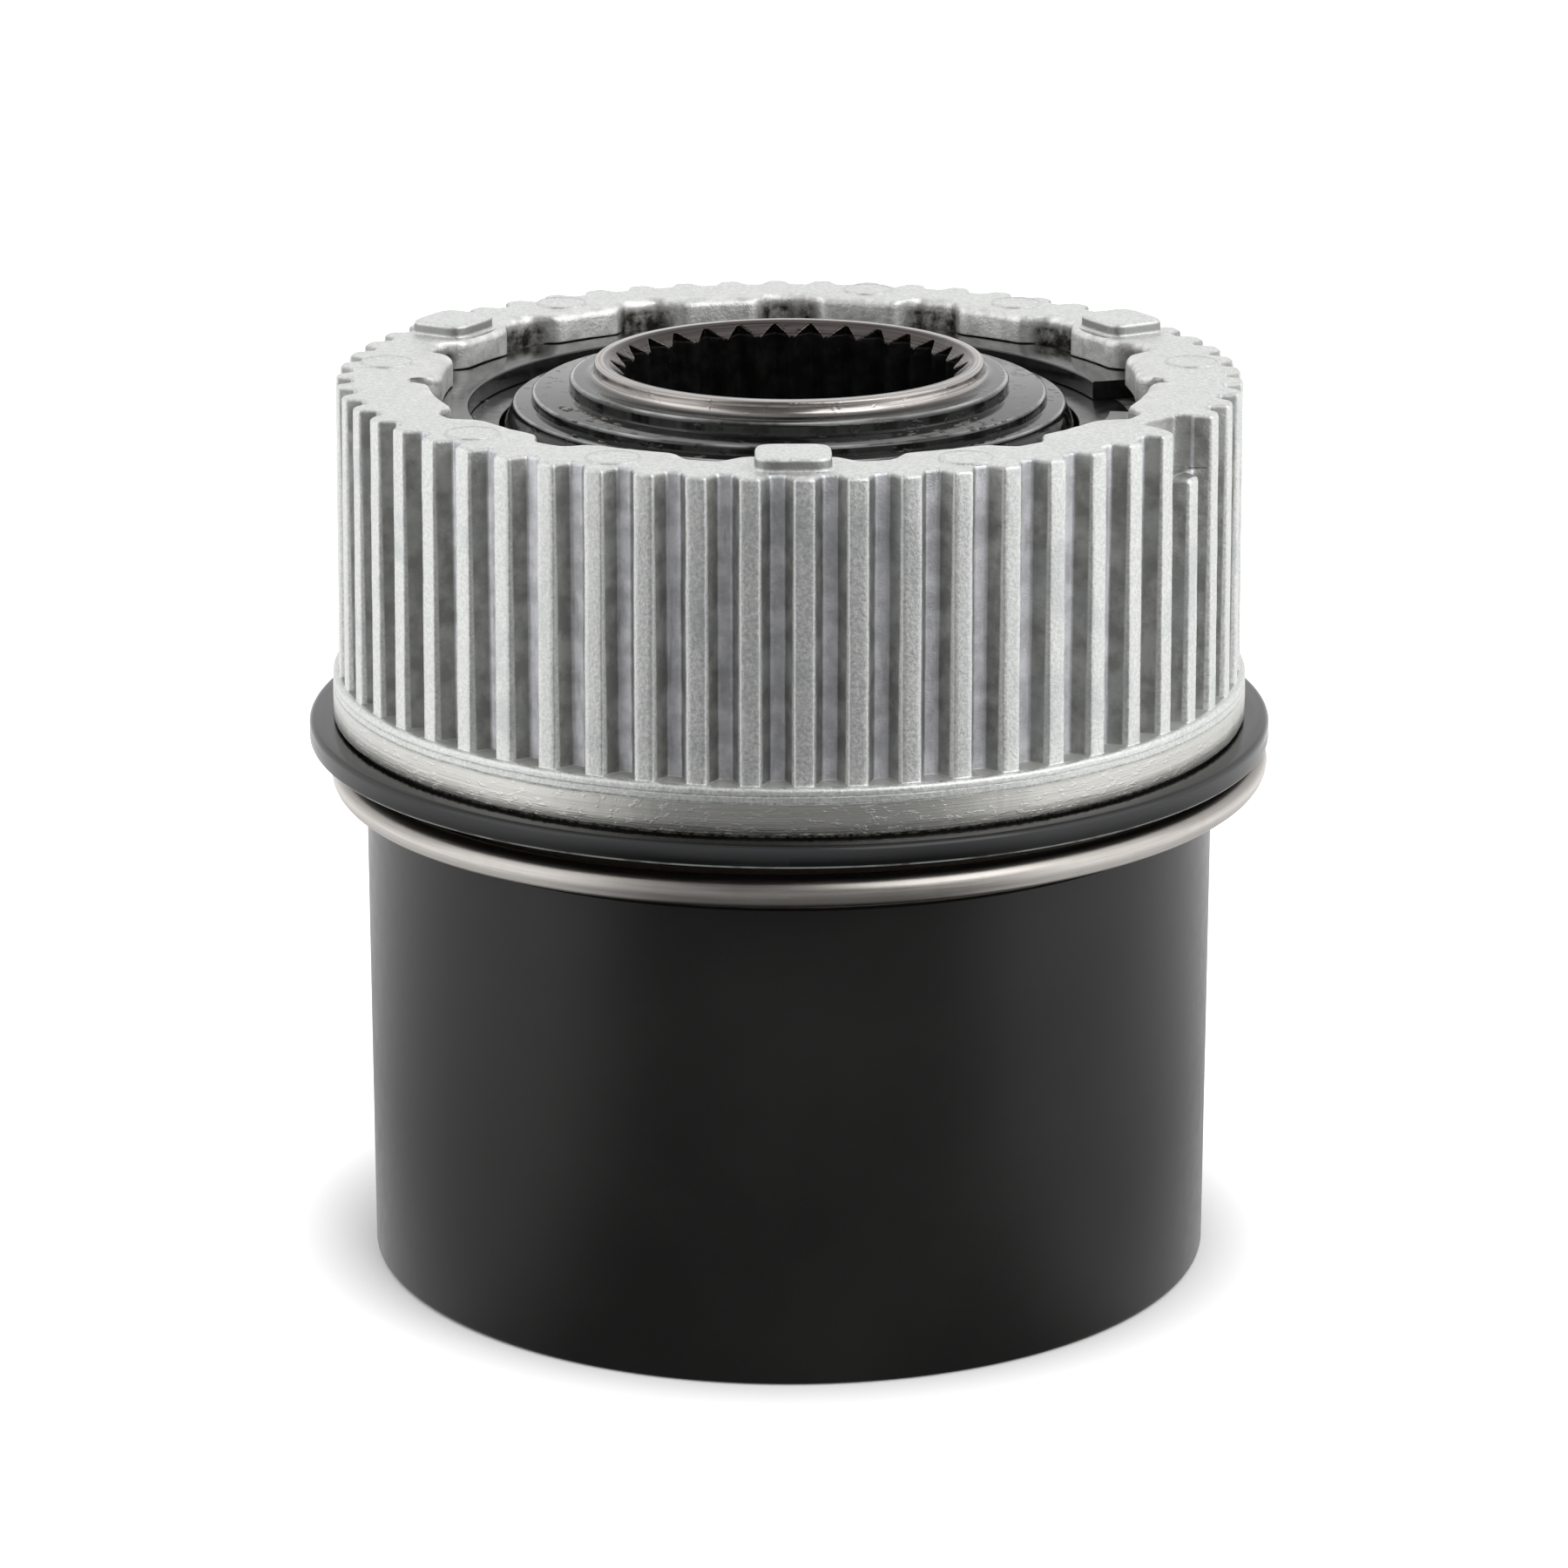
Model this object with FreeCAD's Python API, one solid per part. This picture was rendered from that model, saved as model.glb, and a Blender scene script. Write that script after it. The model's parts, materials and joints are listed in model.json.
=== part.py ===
"""Automatic locking hub: splined die-cast body, plain black cap, drive gear in a ball bearing and a
diaphragm piston that slides a toothed clutch ring between the drive gear and the body.

Millimetres. Z is the wheel's axis and points inboard. The cap's flat face stands on z = 0.
Angles are in degrees, counted from the front (-Y) towards +X.
"""
import FreeCAD, Part
import math
import os

# Clearances
SLIDE_GAP = 0.08          # running fit of the piston in its bore
SEAT_GAP = 0.05           # radial fit of pieces that don't move against each other
FREE_GAP = 0.3            # between faces of pieces that move past each other
BALL_GAP = 0.15           # between a ball and its races

# Radii step in or out from the pilot band's, heights step up from the cap's rim
BAND_RADIUS = 42.85
CAP_HEIGHT = 45.4

# Cap, a turned cup
CAP_STEP = 3.0            # from the band in to the cap's outside
CAP_WALL = 1.75
CAP_FLOOR = 3.0
CAP_LEDGE_WIDTH = 2.1
CAP_LEDGE_HEIGHT = 16.0
CAP_FOOT_ROUND = 0.5
CAP_INNER_ROUND = 2.5

# Body, the outside from the cap up
LIP_REACH = 0.95
LIP_HEIGHT = 0.45
WIRE_GROOVE_DEPTH = 2.8
WIRE_GROOVE_WIDTH = 4.05
SEAL_FLANGE_STEP = 0.5
SEAL_FLANGE_THICKNESS = 0.5
SEAL_GROOVE_DEPTH = 0.7
SEAL_GROOVE_WIDTH = 2.5
BAND_HEIGHT = 2.9
BAND_EDGE = 0.2
BEAD_HEIGHT = 1.4
BEAD_GROOVE = 0.12
SPLINE_LENGTH = 27.6
SPLINE_COUNT = 56
SPLINE_PHASE = 1.75
SPLINE_STEP = 0.55
SPLINE_DRAFT = 0.3
SPLINE_DEPTH = 1.6
SPLINE_MOUTH_SHARE = 0.645
SPLINE_FLOOR_SHARE = 0.3
POCKET_TOOTH = 9
POCKET_WIDTH = 6.2
POCKET_DEPTH = 4.9
POCKET_REACH = 3.9

# Body, the inboard face
TAB_COUNT = 3
TAB_PHASE = 0.5
TAB_WIDTH = 6.7
TAB_LENGTH = 5.9
TAB_SETBACK = 0.6
TAB_HEIGHT = 1.25
TAB_CORNER = 1.1
TAB_EDGE = 0.45
LAND_STEP = 1.4           # from the bearing's outside out to the lands
LAND_ROUND = 0.5
LAND_THICKNESS = 2.7
KEY_LAND_REACH = 1.25
KEY_LAND_SPAN = 17.0
KEY_LAND_ANGLES = (96.0, -96.0)
NOTCH_COUNT = 15
NOTCH_DEPTH = 2.1
NOTCH_MOUTH_WIDTH = 6.8
NOTCH_FLOOR_WIDTH = 3.6
NOTCH_CORNER = 0.8
SLIT_WIDTH = 2.6
SLIT_DEPTH = 1.5
SLIT_ANGLES = (84.0, -84.0)

# Body, the inside
SKIRT_WALL = 3.55
BODY_TEETH_HEIGHT = 1.9
BEARING_SHOULDER = 2.4
BEARING_SHOULDER_REACH = 2.0

# Clutch teeth
CLUTCH_TOOTH_COUNT = 36
CLUTCH_TOOTH_SHARE = 0.43
CLUTCH_FLANK_GAP = 0.45
CLUTCH_TEETH_WIDTH = 8.4
CLUTCH_TRAVEL = 9.0
CLUTCH_OVERRUN = 1.9

# Seal and wire ring
SEAL_THICKNESS = 2.1
SEAL_TOP_ROUND = 0.6
SEAL_EDGE = 0.3
SEAL_REACH = 2.94
WIRE_DIAMETER = 2.9
WIRE_RING_REACH = 4.05    # from the groove's floor out to the ring's outside
WIRE_RING_SHIFT = 0.95
WIRE_RING_LEAN = 0.73
WIRE_RING_GAP = 3.0
CAP_SEAL_DIAMETER = 1.45
CAP_SEAL_DROP = 12.4

# Ball bearing
BEARING_STEP = 2.5        # from the piston's bore in to the bearing's outside
BEARING_WIDTH = 8.0
BEARING_SECTION = 8.8
OUTER_RACE_WALL = 2.4
INNER_RACE_WALL = 3.0
RACE_EDGE = 0.4
BALL_RADIUS = 2.38
BALL_COUNT = 16
CAGE_WALL = 1.4
CAGE_WIDTH = 6.6
PLATE_THICKNESS = 1.3
PLATE_WIDTH = 5.1
SNAP_RING_THICKNESS = 1.75
SNAP_RING_END_PLAY = 0.15
SNAP_RING_REACH = 3.6     # from the lands in to the ring's inside
SNAP_RING_RIM = 1.1
SNAP_RING_GAP_START = 82.0
SNAP_RING_GAP_END = 99.0

# Drive gear: collar at the inboard end, steps below it, then the bearing seat and the sleeve
DISC_GAP = 0.4
STEP_WIDTHS = (0.8, 1.8, 3.5, 2.34)
STEP_HEIGHTS = (2.1, 0.95, 1.35, 1.45)
STEP_EDGE = 0.25
STEP_FOOT_CHAMFER = 0.6
COLLAR_WALL = 1.16
COLLAR_CHAMFER = 1.15
COLLAR_CHAMFER_WIDTH = 1.55
DISC_FOOT = 1.3
BORE_SPLINE_COUNT = 30
BORE_SPLINE_PHASE = 4.8
BORE_SPLINE_DEPTH = 1.3
BORE_MOUTH_SHARE = 0.706
BORE_FLOOR_SHARE = 0.08
SLEEVE_LENGTH = 28.9
SLEEVE_STEP = 0.9
SLEEVE_SPLINE_COUNT = 24
SLEEVE_SPLINE_DEPTH = 1.7
SLEEVE_TOOTH_SHARE = 0.4625
CLIP_THICKNESS = 1.2
CLIP_DEPTH = 0.8
CLIP_REACH = 2.7
CLIP_GAP_SPAN = 20.0

# Clutch ring
CLUTCH_WALL = 4.7
CLUTCH_FLANGE_THICKNESS = 2.0
CLUTCH_SPLINE_LENGTH = 13.0

# Piston, spring and diaphragm
PISTON_FLOOR = 3.0
PISTON_CUP_STEP = 7.5
PISTON_CUP_WALL = 2.2
PISTON_CUP_ROUND = 0.8
PISTON_FLANGE = 2.5
PISTON_GUIDE_WALL = 2.2
PISTON_GUIDE_LENGTH = 12.0
PISTON_BOSS_RADIUS = 6.0
PISTON_BOSS_HEIGHT = 6.0
SPRING_LOCATOR_HEIGHT = 2.2
RETAINER_THICKNESS = 1.5
RETAINER_BITE = 1.1
RETAINER_WIDTH = 3.8
RETAINER_GAP = 8.0
SPRING_WIRE = 2.4
SPRING_STEP = 2.1         # from the sleeve's roots in to the middle of the spring's wire
SPRING_TURNS = 5.5
WASHER_THICKNESS = 1.2
SPRING_SEAT_SLEEVE = 3.5
DIAPHRAGM_THICKNESS = 1.2
DIAPHRAGM_BEAD = 2.0
DIAPHRAGM_BEAD_INSET = 0.5
DIAPHRAGM_ROLL = 3.4
CLAMP_RING_WIDTH = 5.0
CLAMP_RING_THICKNESS = 2.0
DIAPHRAGM_PLATE_STEP = 3.0
DIAPHRAGM_PLATE_THICKNESS = 1.2
SCREW_RADIUS = 3.0
SCREW_HEAD_RADIUS = 5.5
SCREW_HEAD_HEIGHT = 2.6
SCREW_LENGTH = 9.0
SCREW_CLEARANCE = 2.6     # from the cap's floor up to the screw's head

# Heights worked out from the sizes above, outside of the body
LIP_TOP = CAP_HEIGHT + LIP_HEIGHT
WIRE_GROOVE_TOP = LIP_TOP + WIRE_GROOVE_WIDTH
WIRE_RING_HEIGHT = (LIP_TOP + WIRE_GROOVE_TOP) / 2
SEAL_GROOVE_BOTTOM = WIRE_GROOVE_TOP + SEAL_FLANGE_THICKNESS
BAND_BOTTOM = SEAL_GROOVE_BOTTOM + SEAL_GROOVE_WIDTH
SEAL_MIDDLE = (SEAL_GROOVE_BOTTOM + BAND_BOTTOM) / 2
BAND_TOP = BAND_BOTTOM + BAND_HEIGHT
SPLINE_BOTTOM = BAND_TOP + BEAD_HEIGHT
FACE_Z = SPLINE_BOTTOM + SPLINE_LENGTH

# Heights inside, from the face down
SNAP_GROOVE_TOP = FACE_Z - LAND_THICKNESS
PLATE_TOP = SNAP_GROOVE_TOP - SNAP_RING_THICKNESS - SNAP_RING_END_PLAY
BEARING_TOP = PLATE_TOP - PLATE_THICKNESS
BEARING_BOTTOM = BEARING_TOP - BEARING_WIDTH
BEARING_MIDDLE = (BEARING_BOTTOM + BEARING_TOP) / 2
BODY_TEETH_TOP = BEARING_BOTTOM - BEARING_SHOULDER
BODY_TEETH_BOTTOM = BODY_TEETH_TOP - CLUTCH_TRAVEL - CLUTCH_OVERRUN
CLUTCH_TOP = BODY_TEETH_BOTTOM - 2 * FREE_GAP
SLEEVE_BOTTOM = BEARING_BOTTOM - SLEEVE_LENGTH
SPRING_SEAT_BOTTOM = SLEEVE_BOTTOM - 2 * WASHER_THICKNESS

# Heights inside, from the cap's floor up
PLATE_BOTTOM = CAP_FLOOR + SCREW_CLEARANCE + SCREW_HEAD_HEIGHT
DIAPHRAGM_BOTTOM = PLATE_BOTTOM + DIAPHRAGM_PLATE_THICKNESS
PISTON_BOTTOM = DIAPHRAGM_BOTTOM + DIAPHRAGM_THICKNESS
PISTON_FLOOR_TOP = PISTON_BOTTOM + PISTON_FLOOR
BEAD_BOTTOM = CAP_LEDGE_HEIGHT + CLAMP_RING_THICKNESS
SKIRT_BOTTOM = BEAD_BOTTOM + DIAPHRAGM_BEAD
GUIDE_BOTTOM = SKIRT_BOTTOM + FREE_GAP
FLANGE_TOP = GUIDE_BOTTOM + PISTON_FLANGE
CLUTCH_BOTTOM = FLANGE_TOP + FREE_GAP
CLUTCH_FLANGE_TOP = CLUTCH_BOTTOM + CLUTCH_FLANGE_THICKNESS
RETAINER_BOTTOM = CLUTCH_FLANGE_TOP + FREE_GAP
CAP_SEAL_HEIGHT = CAP_HEIGHT - CAP_SEAL_DROP

# Radii worked out from the sizes above, outside of the body and the cap
SEAL_SEAT_RADIUS = BAND_RADIUS - SEAL_GROOVE_DEPTH
SEAL_FLANGE_RADIUS = BAND_RADIUS - SEAL_FLANGE_STEP
WIRE_GROOVE_RADIUS = BAND_RADIUS - WIRE_GROOVE_DEPTH
LIP_RADIUS = WIRE_GROOVE_RADIUS + LIP_REACH
WIRE_RING_RADIUS = WIRE_GROOVE_RADIUS + WIRE_RING_REACH
SPLINE_BOTTOM_RADIUS = BAND_RADIUS - SPLINE_STEP
SPLINE_TOP_RADIUS = SPLINE_BOTTOM_RADIUS - SPLINE_DRAFT
SPLINE_ROOT_RADIUS = SPLINE_TOP_RADIUS - SPLINE_DEPTH
CAP_RADIUS = BAND_RADIUS - CAP_STEP
CAP_BORE = CAP_RADIUS - CAP_WALL
SKIRT_RADIUS = CAP_BORE - SEAT_GAP

# Radii inside, from the skirt in to the bore
PISTON_BORE_RADIUS = SKIRT_RADIUS - SKIRT_WALL
GUIDE_RADIUS = PISTON_BORE_RADIUS - SLIDE_GAP
GUIDE_INNER = GUIDE_RADIUS - PISTON_GUIDE_WALL
PISTON_CUP_RADIUS = PISTON_BORE_RADIUS - PISTON_CUP_STEP
DIAPHRAGM_PLATE_RADIUS = PISTON_CUP_RADIUS - DIAPHRAGM_PLATE_STEP
CLAMP_RING_INNER = SKIRT_RADIUS - CLAMP_RING_WIDTH + FREE_GAP
BEARING_OUTER_RADIUS = PISTON_BORE_RADIUS - BEARING_STEP
BEARING_SHOULDER_RADIUS = BEARING_OUTER_RADIUS - BEARING_SHOULDER_REACH
BODY_TEETH_TIP_RADIUS = BEARING_OUTER_RADIUS
BODY_TEETH_ROOT = BODY_TEETH_TIP_RADIUS + BODY_TEETH_HEIGHT
CLUTCH_TIP = BODY_TEETH_ROOT - FREE_GAP
CLUTCH_ROOT = BODY_TEETH_TIP_RADIUS - FREE_GAP
LAND_RADIUS = BEARING_OUTER_RADIUS + LAND_STEP
KEY_LAND_RADIUS = LAND_RADIUS - KEY_LAND_REACH
TAB_INNER_RADIUS = LAND_RADIUS + TAB_SETBACK
SNAP_GROOVE_RADIUS = LAND_RADIUS + SNAP_RING_RIM + SEAT_GAP
SNAP_RING_INNER_RADIUS = LAND_RADIUS - SNAP_RING_REACH
PLATE_OPENING = BEARING_OUTER_RADIUS - PLATE_WIDTH
BEARING_INNER_RADIUS = BEARING_OUTER_RADIUS - BEARING_SECTION
INNER_RACE_RADIUS = BEARING_INNER_RADIUS + INNER_RACE_WALL
OUTER_RACE_BORE = BEARING_OUTER_RADIUS - OUTER_RACE_WALL
BALL_PITCH_RADIUS = (INNER_RACE_RADIUS + OUTER_RACE_BORE) / 2
DISC_RADIUS = PLATE_OPENING - DISC_GAP
LOW_STEP_RADIUS = DISC_RADIUS - STEP_WIDTHS[0]
MIDDLE_STEP_RADIUS = LOW_STEP_RADIUS - STEP_WIDTHS[1]
TOP_STEP_RADIUS = MIDDLE_STEP_RADIUS - STEP_WIDTHS[2]
COLLAR_RADIUS = TOP_STEP_RADIUS - STEP_WIDTHS[3]
COLLAR_MOUTH_RADIUS = COLLAR_RADIUS - COLLAR_WALL
BORE_TIP_RADIUS = COLLAR_MOUTH_RADIUS - COLLAR_CHAMFER_WIDTH
BORE_ROOT_RADIUS = BORE_TIP_RADIUS + BORE_SPLINE_DEPTH
SLEEVE_RADIUS = BEARING_INNER_RADIUS - SLEEVE_STEP
SLEEVE_ROOT_RADIUS = SLEEVE_RADIUS - SLEEVE_SPLINE_DEPTH
SLEEVE_BORE_CLEAR = BORE_ROOT_RADIUS - 1.0
CLIP_RADIUS = SLEEVE_RADIUS + CLIP_REACH
CLUTCH_BORE = SLEEVE_RADIUS + FREE_GAP
CLUTCH_WALL_RADIUS = CLUTCH_BORE + CLUTCH_WALL
SPRING_MEAN_RADIUS = SLEEVE_ROOT_RADIUS - SPRING_STEP
SPRING_INNER = SPRING_MEAN_RADIUS - SPRING_WIRE / 2


def rounded_face(corners, flat):
    """A face from (u, v) or (u, v, radius) corners, flat = True in the XY plane, else in the XZ plane."""
    def vector(u, v):
        return FreeCAD.Vector(u, v, 0) if flat else FreeCAD.Vector(u, 0, v)

    edges = []
    first = last = None
    count = len(corners)
    for index in range(count):
        here = vector(*corners[index][:2])
        radius = corners[index][2] if len(corners[index]) == 3 else 0
        start = end = here
        if radius:
            to_before = (vector(*corners[index - 1][:2]) - here).normalize()
            to_after = (vector(*corners[(index + 1) % count][:2]) - here).normalize()
            half = to_before.getAngle(to_after) / 2
            reach = radius / math.tan(half)
            start = here + to_before * reach
            end = here + to_after * reach
            toward = (to_before + to_after).normalize()
            middle = here + toward * (radius / math.sin(half) - radius)
        if last is not None and last.distanceToPoint(start) > 1e-6:
            edges.append(Part.makeLine(last, start))
        if radius:
            edges.append(Part.Arc(start, middle, end).toShape())
        if first is None:
            first = start
        last = end
    if last.distanceToPoint(first) > 1e-6:
        edges.append(Part.makeLine(last, first))
    return Part.Face(Part.Wire(edges))


def turned(corners):
    """A solid of revolution about Z from an outline of (radius, height) corners."""
    return rounded_face(corners, False).revolve(FreeCAD.Vector(), FreeCAD.Vector(0, 0, 1), 360)


def prism(corners, bottom, top):
    """A straight prism along Z from an outline of (outward, sideways) corners."""
    face = rounded_face(corners, True)
    face.translate(FreeCAD.Vector(0, 0, bottom))
    return face.extrude(FreeCAD.Vector(0, 0, top - bottom))


def at_angle(shape, angle):
    """A copy of a shape built along +X, turned to an angle counted from the front."""
    return shape.rotated(FreeCAD.Vector(), FreeCAD.Vector(0, 0, 1), angle - 90)


def around(shape, count, phase):
    """Evenly spaced copies of a shape about Z."""
    return [at_angle(shape, phase + 360.0 * k / count) for k in range(count)]


def wedge(inner, outer, start, end, bottom, top):
    """A sector of a ring between two angles."""
    ring = turned([(inner, bottom), (outer, bottom), (outer, top), (inner, top)])
    spread = outer * 2
    middle = (start + end) / 2
    half = math.radians(end - start) / 2
    side = spread * math.tan(half)
    slice_ = at_angle(prism([(0, 0), (spread, -side), (spread, side)], bottom, top), middle)
    return ring.common(slice_)


def trapezoid(near, near_width, far, far_width, bottom, top):
    """A prism whose width changes evenly from one radius to another."""
    return prism(
        [(near, -near_width / 2), (far, -far_width / 2), (far, far_width / 2), (near, near_width / 2)],
        bottom,
        top,
    )


def width_at(radius, radius_a, width_a, radius_b, width_b):
    """The width of straight-sided teeth carried on to another radius."""
    return width_a + (width_b - width_a) * (radius - radius_a) / (radius_b - radius_a)


def pitch_at(radius, count):
    """The length of arc from one tooth to the next."""
    return 2 * math.pi * radius / count


def make_cap():
    return turned([
        (0, 0),
        (CAP_RADIUS, 0, CAP_FOOT_ROUND),
        (CAP_RADIUS, CAP_HEIGHT, CAP_FOOT_ROUND / 2),
        (CAP_BORE, CAP_HEIGHT),
        (CAP_BORE, CAP_LEDGE_HEIGHT),
        (CAP_BORE - CAP_LEDGE_WIDTH, CAP_LEDGE_HEIGHT),
        (CAP_BORE - CAP_LEDGE_WIDTH, CAP_FLOOR, CAP_INNER_ROUND),
        (0, CAP_FLOOR),
    ])


def body_blank():
    """The body's turned outline, before its splines, teeth, tabs and notches."""
    seal_half = CAP_SEAL_DIAMETER / 2 + SEAT_GAP
    groove_root = SKIRT_RADIUS - CAP_SEAL_DIAMETER
    return turned([
        (PISTON_BORE_RADIUS, SKIRT_BOTTOM),
        (SKIRT_RADIUS, SKIRT_BOTTOM),
        (SKIRT_RADIUS, CAP_SEAL_HEIGHT - seal_half),
        (groove_root, CAP_SEAL_HEIGHT - seal_half),
        (groove_root, CAP_SEAL_HEIGHT + seal_half),
        (SKIRT_RADIUS, CAP_SEAL_HEIGHT + seal_half),
        (SKIRT_RADIUS, CAP_HEIGHT),
        (CAP_RADIUS, CAP_HEIGHT),
        (LIP_RADIUS, LIP_TOP - LIP_HEIGHT / 4),
        (LIP_RADIUS, LIP_TOP),
        (WIRE_GROOVE_RADIUS, LIP_TOP),
        (WIRE_GROOVE_RADIUS, WIRE_GROOVE_TOP),
        (SEAL_FLANGE_RADIUS, WIRE_GROOVE_TOP),
        (SEAL_FLANGE_RADIUS, SEAL_GROOVE_BOTTOM),
        (SEAL_SEAT_RADIUS, SEAL_GROOVE_BOTTOM),
        (SEAL_SEAT_RADIUS, BAND_BOTTOM),
        (BAND_RADIUS, BAND_BOTTOM, BAND_EDGE),
        (BAND_RADIUS, BAND_TOP - BEAD_GROOVE),
        (BAND_RADIUS - BEAD_GROOVE, BAND_TOP),
        (BAND_RADIUS, BAND_TOP + BEAD_GROOVE),
        (BAND_RADIUS, SPLINE_BOTTOM, BEAD_HEIGHT / 4),
        (SPLINE_BOTTOM_RADIUS, SPLINE_BOTTOM),
        (SPLINE_TOP_RADIUS, FACE_Z),
        (LAND_RADIUS, FACE_Z, LAND_ROUND),
        (LAND_RADIUS, SNAP_GROOVE_TOP),
        (SNAP_GROOVE_RADIUS, SNAP_GROOVE_TOP),
        (SNAP_GROOVE_RADIUS, PLATE_TOP),
        (BEARING_OUTER_RADIUS + SEAT_GAP, PLATE_TOP),
        (BEARING_OUTER_RADIUS + SEAT_GAP, BEARING_BOTTOM),
        (BEARING_SHOULDER_RADIUS, BEARING_BOTTOM),
        (BEARING_SHOULDER_RADIUS, BODY_TEETH_TOP),
        (BODY_TEETH_TIP_RADIUS, BODY_TEETH_TOP),
        (BODY_TEETH_TIP_RADIUS, BODY_TEETH_BOTTOM),
        (PISTON_BORE_RADIUS, BODY_TEETH_BOTTOM - BEARING_STEP),
    ])


def key_lands():
    """The two lands at the sides that stand further in than the others."""
    half = KEY_LAND_SPAN / 2
    return [
        wedge(KEY_LAND_RADIUS, LAND_RADIUS + LAND_ROUND, angle - half, angle + half, SNAP_GROOVE_TOP, FACE_Z)
        for angle in KEY_LAND_ANGLES
    ]


def face_tabs():
    """The raised tabs on the inboard face."""
    outer = TAB_INNER_RADIUS + TAB_LENGTH
    half = TAB_WIDTH / 2
    outline = [
        (TAB_INNER_RADIUS, -half, TAB_CORNER),
        (outer, -half, TAB_CORNER),
        (outer, half, TAB_CORNER),
        (TAB_INNER_RADIUS, half, TAB_CORNER),
    ]
    tab = prism(outline, FACE_Z - LAND_THICKNESS / 2, FACE_Z + TAB_HEIGHT)
    top_edges = [edge for edge in tab.Edges if edge.BoundBox.ZMin > FACE_Z + TAB_HEIGHT / 2]
    return around(tab.makeFillet(TAB_EDGE, top_edges), TAB_COUNT, TAB_PHASE)


def outer_spline_grooves():
    """The gaps between the outer splines."""
    reach = SPLINE_BOTTOM_RADIUS + 1
    floor_width = SPLINE_FLOOR_SHARE * pitch_at(SPLINE_ROOT_RADIUS, SPLINE_COUNT)
    mouth_width = SPLINE_MOUTH_SHARE * pitch_at(SPLINE_TOP_RADIUS, SPLINE_COUNT)
    far_width = width_at(reach, SPLINE_ROOT_RADIUS, floor_width, SPLINE_TOP_RADIUS, mouth_width)
    groove = trapezoid(SPLINE_ROOT_RADIUS, floor_width, reach, far_width, SPLINE_BOTTOM, FACE_Z + 1)
    return around(groove, SPLINE_COUNT, SPLINE_PHASE + 180.0 / SPLINE_COUNT)


def short_tooth_pocket():
    """The pocket above the one spline that ends below the face."""
    angle = SPLINE_PHASE + 360.0 * POCKET_TOOTH / SPLINE_COUNT
    near = SPLINE_TOP_RADIUS - POCKET_REACH
    half = POCKET_WIDTH / 2
    far = SPLINE_BOTTOM_RADIUS + 1
    outline = [(near, -half, NOTCH_CORNER), (far, -half), (far, half), (near, half, NOTCH_CORNER)]
    return at_angle(prism(outline, FACE_Z - POCKET_DEPTH, FACE_Z + 1), angle)


def face_notches():
    """The notches in the lands that hold the snap ring."""
    floor = LAND_RADIUS + NOTCH_DEPTH
    near = KEY_LAND_RADIUS - 1
    mouth = NOTCH_MOUTH_WIDTH / 2
    bottom = NOTCH_FLOOR_WIDTH / 2
    wide = [
        (near, -mouth - 0.4),
        (LAND_RADIUS, -mouth),
        (floor, -bottom, NOTCH_CORNER),
        (floor, bottom, NOTCH_CORNER),
        (LAND_RADIUS, mouth),
        (near, mouth + 0.4),
    ]
    notch = prism(wide, PLATE_TOP, FACE_Z + 1)
    half = SLIT_WIDTH / 2
    slit_floor = LAND_RADIUS + SLIT_DEPTH
    narrow = [(near, -half), (slit_floor, -half, half * 0.8), (slit_floor, half, half * 0.8), (near, half)]
    slit = prism(narrow, PLATE_TOP, FACE_Z + 1)
    pitch = 360.0 / NOTCH_COUNT
    angles = [pitch * (k + 0.5) for k in range(NOTCH_COUNT)]
    slits = [angle % 360 for angle in SLIT_ANGLES]
    return [at_angle(slit if angle in slits else notch, angle) for angle in angles]


def clutch_tooth_width():
    return CLUTCH_TOOTH_SHARE * pitch_at(BODY_TEETH_TIP_RADIUS, CLUTCH_TOOTH_COUNT)


def body_clutch_grooves():
    """The gaps between the body's inner clutch teeth."""
    gap = clutch_tooth_width() + 2 * CLUTCH_FLANK_GAP
    near = BODY_TEETH_TIP_RADIUS - 1
    low = BODY_TEETH_BOTTOM - BODY_TEETH_HEIGHT - 1
    groove = trapezoid(near, gap, BODY_TEETH_ROOT, gap, low, BODY_TEETH_TOP)
    return around(groove, CLUTCH_TOOTH_COUNT, 0)


def make_hub_body():
    solid = body_blank().fuse(face_tabs() + key_lands())
    cuts = outer_spline_grooves() + face_notches() + body_clutch_grooves() + [short_tooth_pocket()]
    return solid.cut(cuts).removeSplitter()


def make_outer_seal_ring():
    half = SEAL_THICKNESS / 2
    inner = SEAL_SEAT_RADIUS + SEAT_GAP
    outer = inner + SEAL_REACH
    return turned([
        (inner, SEAL_MIDDLE - half, SEAL_EDGE),
        (outer, SEAL_MIDDLE - half, SEAL_EDGE),
        (outer, SEAL_MIDDLE + half, SEAL_TOP_ROUND),
        (inner, SEAL_MIDDLE + half, SEAL_EDGE),
    ])


def make_retaining_wire_ring():
    """The round wire ring, open at the back, that hangs a little to one side in its groove."""
    radius = WIRE_DIAMETER / 2
    middle = WIRE_RING_RADIUS - radius
    ring = Part.makeTorus(middle, radius)
    gap = Part.makeBox(WIRE_RING_GAP, 2 * WIRE_DIAMETER, 2 * WIRE_DIAMETER)
    gap.translate(FreeCAD.Vector(-WIRE_RING_GAP / 2, middle - WIRE_DIAMETER, -WIRE_DIAMETER))
    ring = ring.cut(gap)
    ring.rotate(FreeCAD.Vector(), FreeCAD.Vector(0, 1, 0), -WIRE_RING_LEAN)
    ring.translate(FreeCAD.Vector(WIRE_RING_SHIFT, 0, WIRE_RING_HEIGHT))
    return ring


def make_cap_seal_ring():
    radius = CAP_SEAL_DIAMETER / 2
    return Part.makeTorus(SKIRT_RADIUS - radius, radius, FreeCAD.Vector(0, 0, CAP_SEAL_HEIGHT))


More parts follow.
